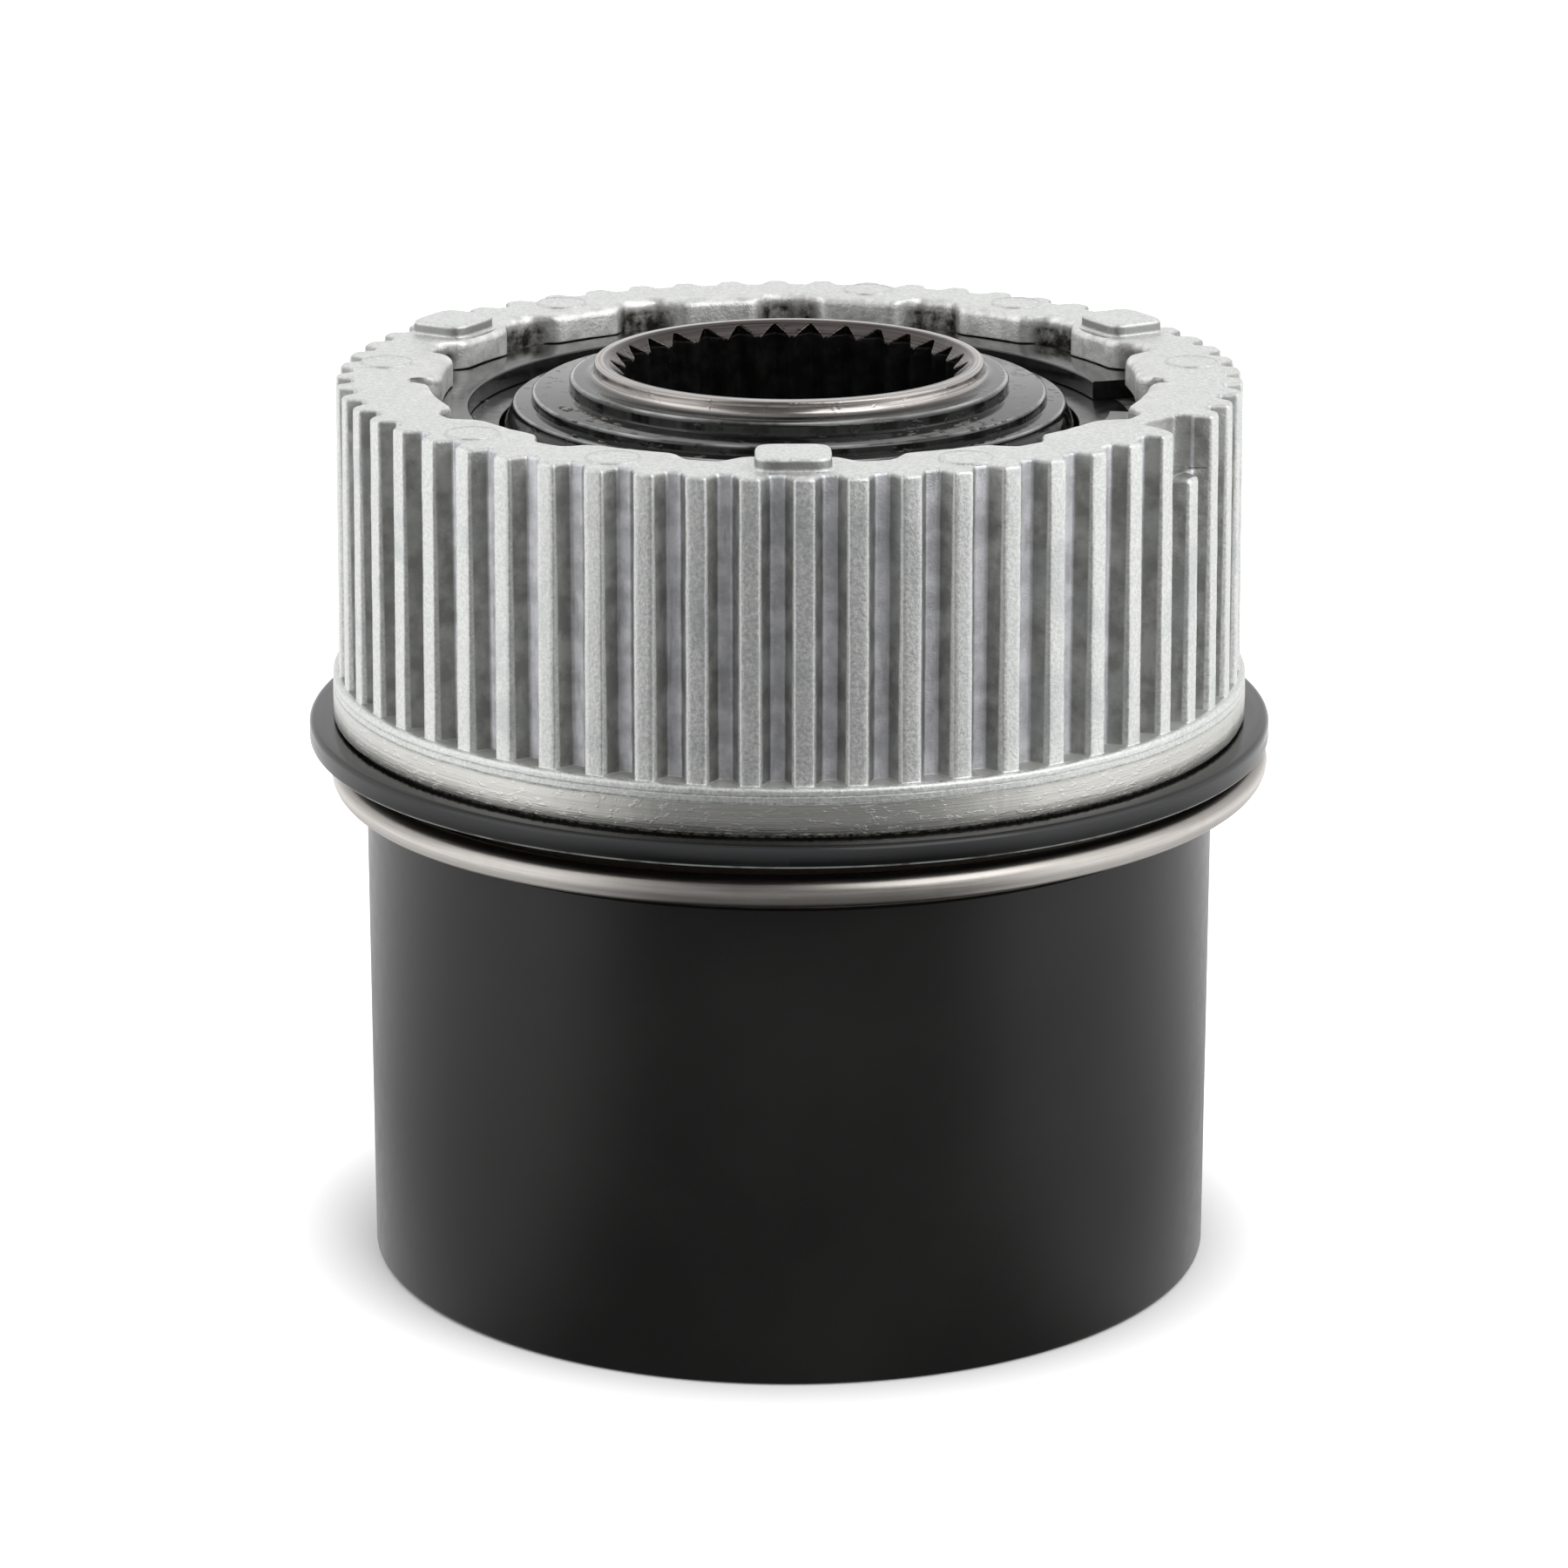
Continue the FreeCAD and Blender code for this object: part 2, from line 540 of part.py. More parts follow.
def make_bearing_snap_ring():
    outer = LAND_RADIUS + SNAP_RING_RIM
    bottom = PLATE_TOP + SEAT_GAP
    top = bottom + SNAP_RING_THICKNESS
    ring = turned([
        (SNAP_RING_INNER_RADIUS, bottom),
        (outer, bottom),
        (outer, top),
        (SNAP_RING_INNER_RADIUS, top),
    ])
    return ring.cut(wedge(SNAP_RING_INNER_RADIUS - 1, outer + 1, SNAP_RING_GAP_START, SNAP_RING_GAP_END,
                          bottom - 1, top + 1))


def make_bearing_plate():
    return turned([
        (PLATE_OPENING, BEARING_TOP),
        (BEARING_OUTER_RADIUS, BEARING_TOP),
        (BEARING_OUTER_RADIUS, PLATE_TOP),
        (PLATE_OPENING, PLATE_TOP),
    ])


def ball_track():
    """The ring-shaped space that the balls roll in."""
    return Part.makeTorus(BALL_PITCH_RADIUS, BALL_RADIUS + BALL_GAP, FreeCAD.Vector(0, 0, BEARING_MIDDLE))


def race(inner, outer):
    return turned([
        (inner, BEARING_BOTTOM, RACE_EDGE),
        (outer, BEARING_BOTTOM, RACE_EDGE),
        (outer, BEARING_TOP, RACE_EDGE),
        (inner, BEARING_TOP, RACE_EDGE),
    ]).cut(ball_track())


def make_bearing_outer_race():
    return race(OUTER_RACE_BORE, BEARING_OUTER_RADIUS)


def make_bearing_inner_race():
    return race(BEARING_INNER_RADIUS, INNER_RACE_RADIUS)


def make_bearing_balls():
    ball = Part.makeSphere(BALL_RADIUS, FreeCAD.Vector(BALL_PITCH_RADIUS, 0, BEARING_MIDDLE))
    return Part.makeCompound(around(ball, BALL_COUNT, 0))


def make_bearing_cage():
    inner = BALL_PITCH_RADIUS - CAGE_WALL / 2
    outer = BALL_PITCH_RADIUS + CAGE_WALL / 2
    bottom = BEARING_MIDDLE - CAGE_WIDTH / 2
    top = BEARING_MIDDLE + CAGE_WIDTH / 2
    ring = turned([(inner, bottom), (outer, bottom), (outer, top), (inner, top)])
    pocket = Part.makeCylinder(
        BALL_RADIUS + BALL_GAP,
        4 * CAGE_WALL,
        FreeCAD.Vector(BALL_PITCH_RADIUS - 2 * CAGE_WALL, 0, BEARING_MIDDLE),
        FreeCAD.Vector(1, 0, 0),
    )
    return ring.cut(around(pocket, BALL_COUNT, 0))


def drive_gear_blank():
    """The drive gear's turned outline: collar, three steps, disc, bearing seat and sleeve."""
    foot_z = BEARING_TOP + DISC_FOOT
    low_z = foot_z + STEP_HEIGHTS[0]
    middle_z = low_z + STEP_HEIGHTS[1]
    top_z = middle_z + STEP_HEIGHTS[2]
    collar_height = STEP_HEIGHTS[3]
    collar_z = top_z + collar_height
    chamfer_z = collar_z - COLLAR_CHAMFER
    clip_bottom = BEARING_BOTTOM - CLIP_THICKNESS - SEAT_GAP
    return turned([
        (BORE_TIP_RADIUS, SLEEVE_BOTTOM),
        (SLEEVE_RADIUS, SLEEVE_BOTTOM, 0.5),
        (SLEEVE_RADIUS, clip_bottom),
        (SLEEVE_RADIUS - CLIP_DEPTH, clip_bottom),
        (SLEEVE_RADIUS - CLIP_DEPTH, BEARING_BOTTOM),
        (BEARING_INNER_RADIUS, BEARING_BOTTOM),
        (BEARING_INNER_RADIUS, BEARING_TOP),
        (DISC_RADIUS, BEARING_TOP),
        (DISC_RADIUS, foot_z),
        (LOW_STEP_RADIUS, low_z - STEP_FOOT_CHAMFER),
        (LOW_STEP_RADIUS, low_z, STEP_EDGE),
        (MIDDLE_STEP_RADIUS, low_z, STEP_EDGE),
        (MIDDLE_STEP_RADIUS, middle_z, STEP_EDGE),
        (TOP_STEP_RADIUS, middle_z, STEP_EDGE),
        (TOP_STEP_RADIUS, top_z, STEP_EDGE),
        (COLLAR_RADIUS, top_z, collar_height * 0.5),
        (COLLAR_RADIUS, collar_z, collar_height * 0.2),
        (COLLAR_MOUTH_RADIUS, collar_z),
        (BORE_TIP_RADIUS, chamfer_z),
    ])


def sleeve_tooth_width():
    return SLEEVE_TOOTH_SHARE * pitch_at(SLEEVE_RADIUS, SLEEVE_SPLINE_COUNT)


def make_drive_gear():
    low = SLEEVE_BOTTOM - 1
    high = BEARING_TOP + DISC_FOOT + sum(STEP_HEIGHTS) + 1
    near = BORE_TIP_RADIUS - 1
    mouth_width = BORE_MOUTH_SHARE * pitch_at(BORE_TIP_RADIUS, BORE_SPLINE_COUNT)
    floor_width = BORE_FLOOR_SHARE * pitch_at(BORE_ROOT_RADIUS, BORE_SPLINE_COUNT)
    near_width = width_at(near, BORE_TIP_RADIUS, mouth_width, BORE_ROOT_RADIUS, floor_width)
    inner = trapezoid(near, near_width, BORE_ROOT_RADIUS, floor_width, low, high)
    gap = pitch_at(SLEEVE_RADIUS, SLEEVE_SPLINE_COUNT) - sleeve_tooth_width()
    spline_top = BEARING_BOTTOM - CLIP_THICKNESS - SEAT_GAP
    outer = trapezoid(SLEEVE_ROOT_RADIUS, gap, SLEEVE_RADIUS + 1, gap, low, spline_top)
    cuts = around(inner, BORE_SPLINE_COUNT, BORE_SPLINE_PHASE)
    cuts += around(outer, SLEEVE_SPLINE_COUNT, 180.0 / SLEEVE_SPLINE_COUNT)
    return drive_gear_blank().cut(cuts)


def make_drive_gear_clip():
    """The open clip that holds the bearing on the drive gear."""
    inner = SLEEVE_RADIUS - CLIP_DEPTH + SEAT_GAP
    bottom = BEARING_BOTTOM - CLIP_THICKNESS
    top = BEARING_BOTTOM
    ring = turned([(inner, bottom), (CLIP_RADIUS, bottom), (CLIP_RADIUS, top), (inner, top)])
    half = CLIP_GAP_SPAN / 2
    return ring.cut(wedge(inner - 1, CLIP_RADIUS + 1, 180 - half, 180 + half, bottom - 1, top + 1))


def make_thrust_washer():
    bottom = SLEEVE_BOTTOM - WASHER_THICKNESS
    return turned([
        (SLEEVE_BORE_CLEAR, bottom),
        (SLEEVE_ROOT_RADIUS, bottom),
        (SLEEVE_ROOT_RADIUS, SLEEVE_BOTTOM),
        (SLEEVE_BORE_CLEAR, SLEEVE_BOTTOM),
    ])


def make_spring_seat():
    """The flanged seat at the spring's inboard end."""
    top = SLEEVE_BOTTOM - WASHER_THICKNESS
    sleeve_radius = SPRING_INNER - FREE_GAP
    return turned([
        (SLEEVE_BORE_CLEAR, SPRING_SEAT_BOTTOM - SPRING_SEAT_SLEEVE),
        (sleeve_radius, SPRING_SEAT_BOTTOM - SPRING_SEAT_SLEEVE),
        (sleeve_radius, SPRING_SEAT_BOTTOM),
        (SPRING_MEAN_RADIUS + SPRING_WIRE / 2 + FREE_GAP, SPRING_SEAT_BOTTOM),
        (SPRING_MEAN_RADIUS + SPRING_WIRE / 2 + FREE_GAP, top),
        (SLEEVE_BORE_CLEAR, top),
    ])


def make_clutch_ring():
    """The toothed ring that slides on the drive gear's sleeve and is carried by the piston."""
    web_bottom = CLUTCH_TOP - CLUTCH_TEETH_WIDTH
    flange_radius = GUIDE_INNER - FREE_GAP
    spline_bore = SLEEVE_ROOT_RADIUS + FREE_GAP
    spline_bottom = CLUTCH_TOP - CLUTCH_SPLINE_LENGTH
    blank = turned([
        (CLUTCH_BORE, CLUTCH_BOTTOM),
        (flange_radius, CLUTCH_BOTTOM),
        (flange_radius, CLUTCH_FLANGE_TOP),
        (CLUTCH_WALL_RADIUS, CLUTCH_FLANGE_TOP),
        (CLUTCH_WALL_RADIUS, web_bottom),
        (CLUTCH_TIP, web_bottom, 0.3),
        (CLUTCH_TIP, CLUTCH_TOP, 0.6),
        (spline_bore, CLUTCH_TOP),
        (spline_bore, spline_bottom),
        (CLUTCH_BORE, spline_bottom),
    ])
    gap = pitch_at((CLUTCH_ROOT + CLUTCH_TIP) / 2, CLUTCH_TOOTH_COUNT) - clutch_tooth_width()
    tooth_gap = trapezoid(CLUTCH_ROOT, gap, CLUTCH_TIP + 1, gap, web_bottom - 1, CLUTCH_TOP + 1)
    slot_width = sleeve_tooth_width() + 2 * FREE_GAP
    slot = trapezoid(spline_bore - 1, slot_width, CLUTCH_BORE, slot_width, spline_bottom - 1, CLUTCH_TOP + 1)
    cuts = around(tooth_gap, CLUTCH_TOOTH_COUNT, 180.0 / CLUTCH_TOOTH_COUNT)
    return blank.cut(cuts + around(slot, SLEEVE_SPLINE_COUNT, 0))


def make_piston():
    cup_inner = PISTON_CUP_RADIUS - PISTON_CUP_WALL
    boss_top = PISTON_FLOOR_TOP + PISTON_BOSS_HEIGHT
    guide_top = GUIDE_BOTTOM + PISTON_GUIDE_LENGTH
    locator_top = PISTON_FLOOR_TOP + SPRING_LOCATOR_HEIGHT
    groove_radius = GUIDE_INNER + RETAINER_BITE + SEAT_GAP
    return turned([
        (SCREW_RADIUS, PISTON_BOTTOM),
        (PISTON_CUP_RADIUS, PISTON_BOTTOM, PISTON_CUP_ROUND),
        (PISTON_CUP_RADIUS, GUIDE_BOTTOM),
        (GUIDE_RADIUS, GUIDE_BOTTOM),
        (GUIDE_RADIUS, guide_top),
        (GUIDE_INNER, guide_top),
        (GUIDE_INNER, RETAINER_BOTTOM + RETAINER_THICKNESS + SEAT_GAP),
        (groove_radius, RETAINER_BOTTOM + RETAINER_THICKNESS + SEAT_GAP),
        (groove_radius, RETAINER_BOTTOM),
        (GUIDE_INNER, RETAINER_BOTTOM),
        (GUIDE_INNER, FLANGE_TOP),
        (cup_inner, FLANGE_TOP),
        (cup_inner, PISTON_FLOOR_TOP, PISTON_CUP_ROUND),
        (SPRING_INNER - FREE_GAP, PISTON_FLOOR_TOP),
        (SPRING_INNER - FREE_GAP, locator_top, 0.5),
        (PISTON_BOSS_RADIUS, locator_top, PISTON_CUP_ROUND),
        (PISTON_BOSS_RADIUS, boss_top, 0.5),
        (SCREW_RADIUS, boss_top),
    ])


def make_clutch_retainer():
    """The open ring that holds the clutch ring's flange in the piston."""
    outer = GUIDE_INNER + RETAINER_BITE
    inner = outer - RETAINER_WIDTH
    top = RETAINER_BOTTOM + RETAINER_THICKNESS
    ring = turned([(inner, RETAINER_BOTTOM), (outer, RETAINER_BOTTOM), (outer, top), (inner, top)])
    half = RETAINER_GAP / 2
    gap = prism([(inner - 1, -half), (outer + 1, -half), (outer + 1, half), (inner - 1, half)],
                RETAINER_BOTTOM - 1, top + 1)
    return ring.cut(at_angle(gap, 180))


def make_return_spring():
    """A coil spring with its ends ground flat."""
    height = SPRING_SEAT_BOTTOM - PISTON_FLOOR_TOP
    pitch = height / SPRING_TURNS
    helix = Part.makeHelix(pitch, height, SPRING_MEAN_RADIUS)
    helix.translate(FreeCAD.Vector(0, 0, PISTON_FLOOR_TOP))
    circle = Part.Circle(
        FreeCAD.Vector(SPRING_MEAN_RADIUS, 0, PISTON_FLOOR_TOP),
        FreeCAD.Vector(0, 1, 0),
        SPRING_WIRE / 2,
    )
    wire = Part.Wire(circle.toShape())
    coil = Part.Wire(helix).makePipeShell([wire], True, True)
    keep = Part.makeCylinder(SPRING_MEAN_RADIUS + SPRING_WIRE, height, FreeCAD.Vector(0, 0, PISTON_FLOOR_TOP))
    return coil.common(keep)


def make_diaphragm():
    """The rubber diaphragm: a clamped bead, one hanging roll and a flat middle under the piston."""
    membrane_top = SKIRT_BOTTOM - FREE_GAP
    membrane_bottom = membrane_top - DIAPHRAGM_THICKNESS
    bead_inner = CLAMP_RING_INNER + DIAPHRAGM_BEAD_INSET
    hang_outer = CLAMP_RING_INNER - DIAPHRAGM_THICKNESS / 2 - FREE_GAP
    hang_inner = hang_outer - DIAPHRAGM_THICKNESS
    return turned([
        (SCREW_RADIUS + SEAT_GAP, DIAPHRAGM_BOTTOM),
        (hang_outer, DIAPHRAGM_BOTTOM, DIAPHRAGM_ROLL + DIAPHRAGM_THICKNESS),
        (hang_outer, membrane_bottom, DIAPHRAGM_THICKNESS / 3),
        (bead_inner, membrane_bottom),
        (bead_inner, BEAD_BOTTOM),
        (SKIRT_RADIUS, BEAD_BOTTOM),
        (SKIRT_RADIUS, SKIRT_BOTTOM),
        (bead_inner, SKIRT_BOTTOM),
        (bead_inner, membrane_top),
        (hang_inner, membrane_top, DIAPHRAGM_THICKNESS),
        (hang_inner, PISTON_BOTTOM, DIAPHRAGM_ROLL),
        (SCREW_RADIUS + SEAT_GAP, PISTON_BOTTOM),
    ])


def make_diaphragm_clamp_ring():
    return turned([
        (CLAMP_RING_INNER, CAP_LEDGE_HEIGHT),
        (SKIRT_RADIUS, CAP_LEDGE_HEIGHT),
        (SKIRT_RADIUS, BEAD_BOTTOM),
        (CLAMP_RING_INNER, BEAD_BOTTOM, CLAMP_RING_THICKNESS * 0.4),
    ])


def make_diaphragm_plate():
    return turned([
        (SCREW_RADIUS + SEAT_GAP, PLATE_BOTTOM),
        (DIAPHRAGM_PLATE_RADIUS, PLATE_BOTTOM, 0.4),
        (DIAPHRAGM_PLATE_RADIUS, DIAPHRAGM_BOTTOM),
        (SCREW_RADIUS + SEAT_GAP, DIAPHRAGM_BOTTOM),
    ])


def make_piston_screw():
    head_bottom = PLATE_BOTTOM - SCREW_HEAD_HEIGHT
    shank_top = PLATE_BOTTOM + SCREW_LENGTH
    socket_depth = SCREW_HEAD_HEIGHT * 0.6
    screw = turned([
        (0, head_bottom),
        (SCREW_HEAD_RADIUS, head_bottom, 1.2),
        (SCREW_HEAD_RADIUS, PLATE_BOTTOM),
        (SCREW_RADIUS - SEAT_GAP, PLATE_BOTTOM),
        (SCREW_RADIUS - SEAT_GAP, shank_top, 0.5),
        (0, shank_top),
    ])
    socket_radius = SCREW_RADIUS * 0.7
    corners = [
        (socket_radius * math.cos(math.radians(60 * k)), socket_radius * math.sin(math.radians(60 * k)))
        for k in range(6)
    ]
    return screw.cut(prism(corners, head_bottom - 1, head_bottom + socket_depth))


PIECES = {
    "hub_body": make_hub_body,
    "cap": make_cap,
    "outer_seal_ring": make_outer_seal_ring,
    "retaining_wire_ring": make_retaining_wire_ring,
    "cap_seal_ring": make_cap_seal_ring,
    "bearing_snap_ring": make_bearing_snap_ring,
    "bearing_plate": make_bearing_plate,
    "bearing_outer_race": make_bearing_outer_race,
    "bearing_inner_race": make_bearing_inner_race,
    "bearing_balls": make_bearing_balls,
    "bearing_cage": make_bearing_cage,
    "drive_gear": make_drive_gear,
    "drive_gear_clip": make_drive_gear_clip,
    "thrust_washer": make_thrust_washer,
    "spring_seat": make_spring_seat,
    "clutch_ring": make_clutch_ring,
    "clutch_retainer": make_clutch_retainer,
    "piston": make_piston,
    "return_spring": make_return_spring,
    "diaphragm": make_diaphragm,
    "diaphragm_clamp_ring": make_diaphragm_clamp_ring,
    "diaphragm_plate": make_diaphragm_plate,
    "piston_screw": make_piston_screw,
}

os.makedirs("parts", exist_ok=True)
for name, make in PIECES.items():
    shape = make()
    shape.exportStep("parts/" + name + ".step")
    print(name, shape.isValid(), len(shape.Solids), round(shape.Volume, 1))
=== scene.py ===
"""Looks of the automatic locking hub: smooth shells for what shows, finishes, light and camera.

Blender works in metres. Sizes are written in millimetres and multiplied by MM where a mesh is made.
Angles of the object are counted from the front (-Y) towards +X.
"""
import json
import math
import random

import bpy
import numpy as np
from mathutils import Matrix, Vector, noise


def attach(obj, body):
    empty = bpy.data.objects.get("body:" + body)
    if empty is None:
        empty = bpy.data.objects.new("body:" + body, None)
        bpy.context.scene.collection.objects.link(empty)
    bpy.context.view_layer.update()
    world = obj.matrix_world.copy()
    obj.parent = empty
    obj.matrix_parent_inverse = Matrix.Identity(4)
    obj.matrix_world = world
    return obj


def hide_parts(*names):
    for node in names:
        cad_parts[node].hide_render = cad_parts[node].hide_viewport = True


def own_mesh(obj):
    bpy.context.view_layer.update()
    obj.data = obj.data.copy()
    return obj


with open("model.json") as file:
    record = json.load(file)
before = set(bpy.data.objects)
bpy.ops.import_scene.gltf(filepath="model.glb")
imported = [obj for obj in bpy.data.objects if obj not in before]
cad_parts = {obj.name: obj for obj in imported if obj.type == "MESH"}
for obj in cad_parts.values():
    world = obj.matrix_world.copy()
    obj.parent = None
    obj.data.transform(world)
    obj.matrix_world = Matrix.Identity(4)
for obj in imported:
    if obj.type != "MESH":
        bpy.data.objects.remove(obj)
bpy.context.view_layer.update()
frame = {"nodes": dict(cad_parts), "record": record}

MM = 0.001

# Heights and radii that the scene shares with the construction
FACE_Z = 84.8
TAB_HEIGHT = 1.25
CAP_HEIGHT = 45.4
CAP_RADIUS = 39.85
CAP_BORE = 38.1
CAP_LOW_BORE = 36.0
CAP_LEDGE_Z = 16.0
CAP_FLOOR = 3.0
LIP_TOP = 45.85
WIRE_GROOVE_TOP = 49.9
WIRE_GROOVE_RADIUS = 40.05
SEAL_GROOVE_BOTTOM = 50.4
BAND_BOTTOM = 52.9
BAND_TOP = 55.8
SPLINE_BOTTOM = 57.2
BAND_RADIUS = 42.85
BEAD_RADIUS = 42.82
SPLINE_COUNT = 56
SPLINE_PHASE = math.radians(1.75)
SPLINE_TOP_RADIUS = 42.0
SPLINE_BOTTOM_RADIUS = 42.3
SPLINE_ROOT_RADIUS = 40.4
LAND_HALF = 0.83
FLANK_WIDTH = 0.85
POCKET_ANGLE = math.radians(1.75 + 9 * 360 / 56)
POCKET_HALF = 2.75
POCKET_FLOOR_RADIUS = 38.2
POCKET_BOTTOM = 79.9
LAND_RADIUS = 33.4
KEY_LAND_RADIUS = 32.15
NOTCH_FLOOR_RADIUS = 35.5
SNAP_GROOVE_RADIUS = 34.55
SNAP_GROOVE_TOP = 82.1
PLATE_TOP = 80.2
BEARING_TOP = 78.9
BEARING_BOTTOM = 70.9
SPRING_LOW = 13.6
SPRING_HIGH = 39.6
SPRING_RADIUS = 18.5
SPRING_WIRE = 1.2
SPRING_TURNS = 5.5
SLEEVE_BOTTOM = 42.0


def ramp(x, softness):
    """Rises from 0 to 1 as x does, with rounded corners."""
    return softness * (np.logaddexp(0, x / softness) - np.logaddexp(0, (x - 1) / softness))


def wrapped(angles, centre, period):
    """Signed distance of each angle from the nearest of evenly spaced centres."""
    return (angles - centre + period / 2) % period - period / 2


def new_object(name, vertices, faces, body, material, replaces=None):
    """A mesh object of the hub, in metres, that rides on a body."""
    mesh = bpy.data.meshes.new(name)
    mesh.from_pydata(vertices, [], faces)
    mesh.validate()
    mesh.update()
    piece = bpy.data.objects.new(name, mesh)
    bpy.context.scene.collection.objects.link(piece)
    mesh.materials.append(material)
    mesh.shade_smooth()
    mesh.set_sharp_from_angle(angle=math.radians(38))
    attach(piece, body)
    if replaces:
        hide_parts(replaces)
    return piece


def loft(name, angles, rows, body, material, closed=True, full=True, replaces=None, wobble=0.0):
    """A mesh through rows of (radius, height), each a number or one value per angle, about Z.

    closed joins the last row to the first, full joins the last angle to the first. Rows of radius 0
    become one point. wobble moves the points by a little noise, as on a casting.
    """
    count = len(angles)
    sines = np.sin(angles)
    cosines = np.cos(angles)
    vertices = []
    starts = []
    for radius, height in rows:
        starts.append(len(vertices))
        if np.isscalar(radius) and radius == 0:
            vertices.append((0.0, 0.0, height * MM))
            continue
        r = np.broadcast_to(radius, count)
        z = np.broadcast_to(height, count)
        vertices.extend(zip(r * sines * MM, -r * cosines * MM, z * MM))
    faces = []
    span = count if full else count - 1
    pairs = list(zip(range(len(rows) - 1), range(1, len(rows))))
    if closed:
        pairs.append((len(rows) - 1, 0))
    for a, b in pairs:
        one_a = np.isscalar(rows[a][0]) and rows[a][0] == 0
        one_b = np.isscalar(rows[b][0]) and rows[b][0] == 0
        if one_a and one_b:
            continue
        for k in range(span):
            m = (k + 1) % count
            if one_a:
                faces.append((starts[a], starts[b] + m, starts[b] + k))
            elif one_b:
                faces.append((starts[a] + k, starts[a] + m, starts[b]))
            else:
                faces.append((starts[a] + k, starts[a] + m, starts[b] + m, starts[b] + k))
    if not full:
        first = [start for start in starts]
        last = [start + count - 1 for start in starts]
        faces.append(tuple(first))
        faces.append(tuple(reversed(last)))
    if wobble:
        noise.seed_set(1)
        moved = []
        for vertex in vertices:
            shift = noise.noise_vector(Vector(vertex) * 900) + noise.noise_vector(Vector(vertex) * 260) * 1.5
            moved.append(tuple(Vector(vertex) + shift * wobble * MM))
        vertices = moved
    return new_object(name, vertices, faces, body, material, replaces)


def corner(radius, height, size, start, end, steps=4):
    """Rows of a rounded edge about a centre, from one direction to another, in degrees from outward."""
    rows = []
    for k in range(steps + 1):
        turn = math.radians(start + (end - start) * k / steps)
        rows.append((radius + size * math.cos(turn), height + size * math.sin(turn)))
    return rows


class Material:
    """Short calls for building one material's nodes, in millimetres on the object."""

    def __init__(self, name):
        self.material = bpy.data.materials.new(name)
        self.material.use_nodes = True
        self.tree = self.material.node_tree
        self.shader = self.tree.nodes["Principled BSDF"]
        place = self.tree.nodes.new("ShaderNodeTexCoord")
        scale = self.tree.nodes.new("ShaderNodeVectorMath")
        scale.operation = "SCALE"
        scale.inputs["Scale"].default_value = 1 / MM
        self.tree.links.new(place.outputs["Object"], scale.inputs[0])
        self.place = scale.outputs[0]
        split = self.tree.nodes.new("ShaderNodeSeparateXYZ")
        self.tree.links.new(self.place, split.inputs[0])
        self.x, self.y, self.z = split.outputs
        self.radius = self.maths("SQRT", self.maths("ADD", self.maths("MULTIPLY", self.x, self.x),
                                                    self.maths("MULTIPLY", self.y, self.y)))

    def put(self, socket, value):
        if isinstance(value, bpy.types.NodeSocket):
            self.tree.links.new(value, socket)
        else:
            socket.default_value = value

    def maths(self, operation, a, b=0.0, c=0.0):
        node = self.tree.nodes.new("ShaderNodeMath")
        node.operation = operation
        self.put(node.inputs[0], a)
        self.put(node.inputs[1], b)
        self.put(node.inputs[2], c)
        return node.outputs[0]

    def window(self, value, low, high, blur):
        """1 where value lies between low and high, falling to 0 over blur on each side."""
        rise = self.spread(value, low - blur, low + blur)
        fall = self.spread(value, high - blur, high + blur)
        return self.maths("SUBTRACT", rise, fall)

    def spread(self, value, low, high, to_low=0.0, to_high=1.0):
        """value from low to high, mapped to another range and held at its ends."""
        node = self.tree.nodes.new("ShaderNodeMapRange")
        self.put(node.inputs["Value"], value)
        node.inputs["From Min"].default_value = low
        node.inputs["From Max"].default_value = high
        node.inputs["To Min"].default_value = to_low
        node.inputs["To Max"].default_value = to_high
        return node.outputs[0]

    def stretched(self, x, y, z):
        """The place on the object, scaled along each axis."""
        node = self.tree.nodes.new("ShaderNodeVectorMath")
        node.operation = "MULTIPLY"
        self.put(node.inputs[0], self.place)
        node.inputs[1].default_value = (x, y, z)
        return node.outputs[0]

    def ring_place(self, around, along, out):
        """A place whose axes are the angle round Z, the height and the radius, for turned surfaces."""
        angle = self.maths("ARCTAN2", self.x, self.y)
        node = self.tree.nodes.new("ShaderNodeCombineXYZ")
        self.put(node.inputs[0], self.maths("MULTIPLY", angle, around))
        self.put(node.inputs[1], self.maths("MULTIPLY", self.z, along))
        self.put(node.inputs[2], self.maths("MULTIPLY", self.radius, out))
        return node.outputs[0]

    def noise(self, scale, detail=3.0, roughness=0.55, place=None):
        node = self.tree.nodes.new("ShaderNodeTexNoise")
        self.put(node.inputs["Vector"], self.place if place is None else place)
        node.inputs["Scale"].default_value = scale
        node.inputs["Detail"].default_value = detail
        node.inputs["Roughness"].default_value = roughness
        return node.outputs["Fac"]

    def cells(self, scale, place=None):
        node = self.tree.nodes.new("ShaderNodeTexVoronoi")
        self.put(node.inputs["Vector"], self.place if place is None else place)
        node.inputs["Scale"].default_value = scale
        return node.outputs["Distance"]

    def mix(self, factor, a, b):
        node = self.tree.nodes.new("ShaderNodeMix")
        node.data_type = "RGBA"
        self.put(node.inputs["Factor"], factor)
        self.put(node.inputs["A"], a if isinstance(a, bpy.types.NodeSocket) else (*a, 1.0))
        self.put(node.inputs["B"], b if isinstance(b, bpy.types.NodeSocket) else (*b, 1.0))
        return node.outputs["Result"]

    def bump(self, height, depth, before=None, strength=1.0):
        """Relief of a given depth in millimetres."""
        node = self.tree.nodes.new("ShaderNodeBump")
        self.put(node.inputs["Height"], height)
        node.inputs["Distance"].default_value = depth * MM
        self.put(node.inputs["Strength"], strength)
        if before is not None:
            self.put(node.inputs["Normal"], before)
        return node.outputs[0]

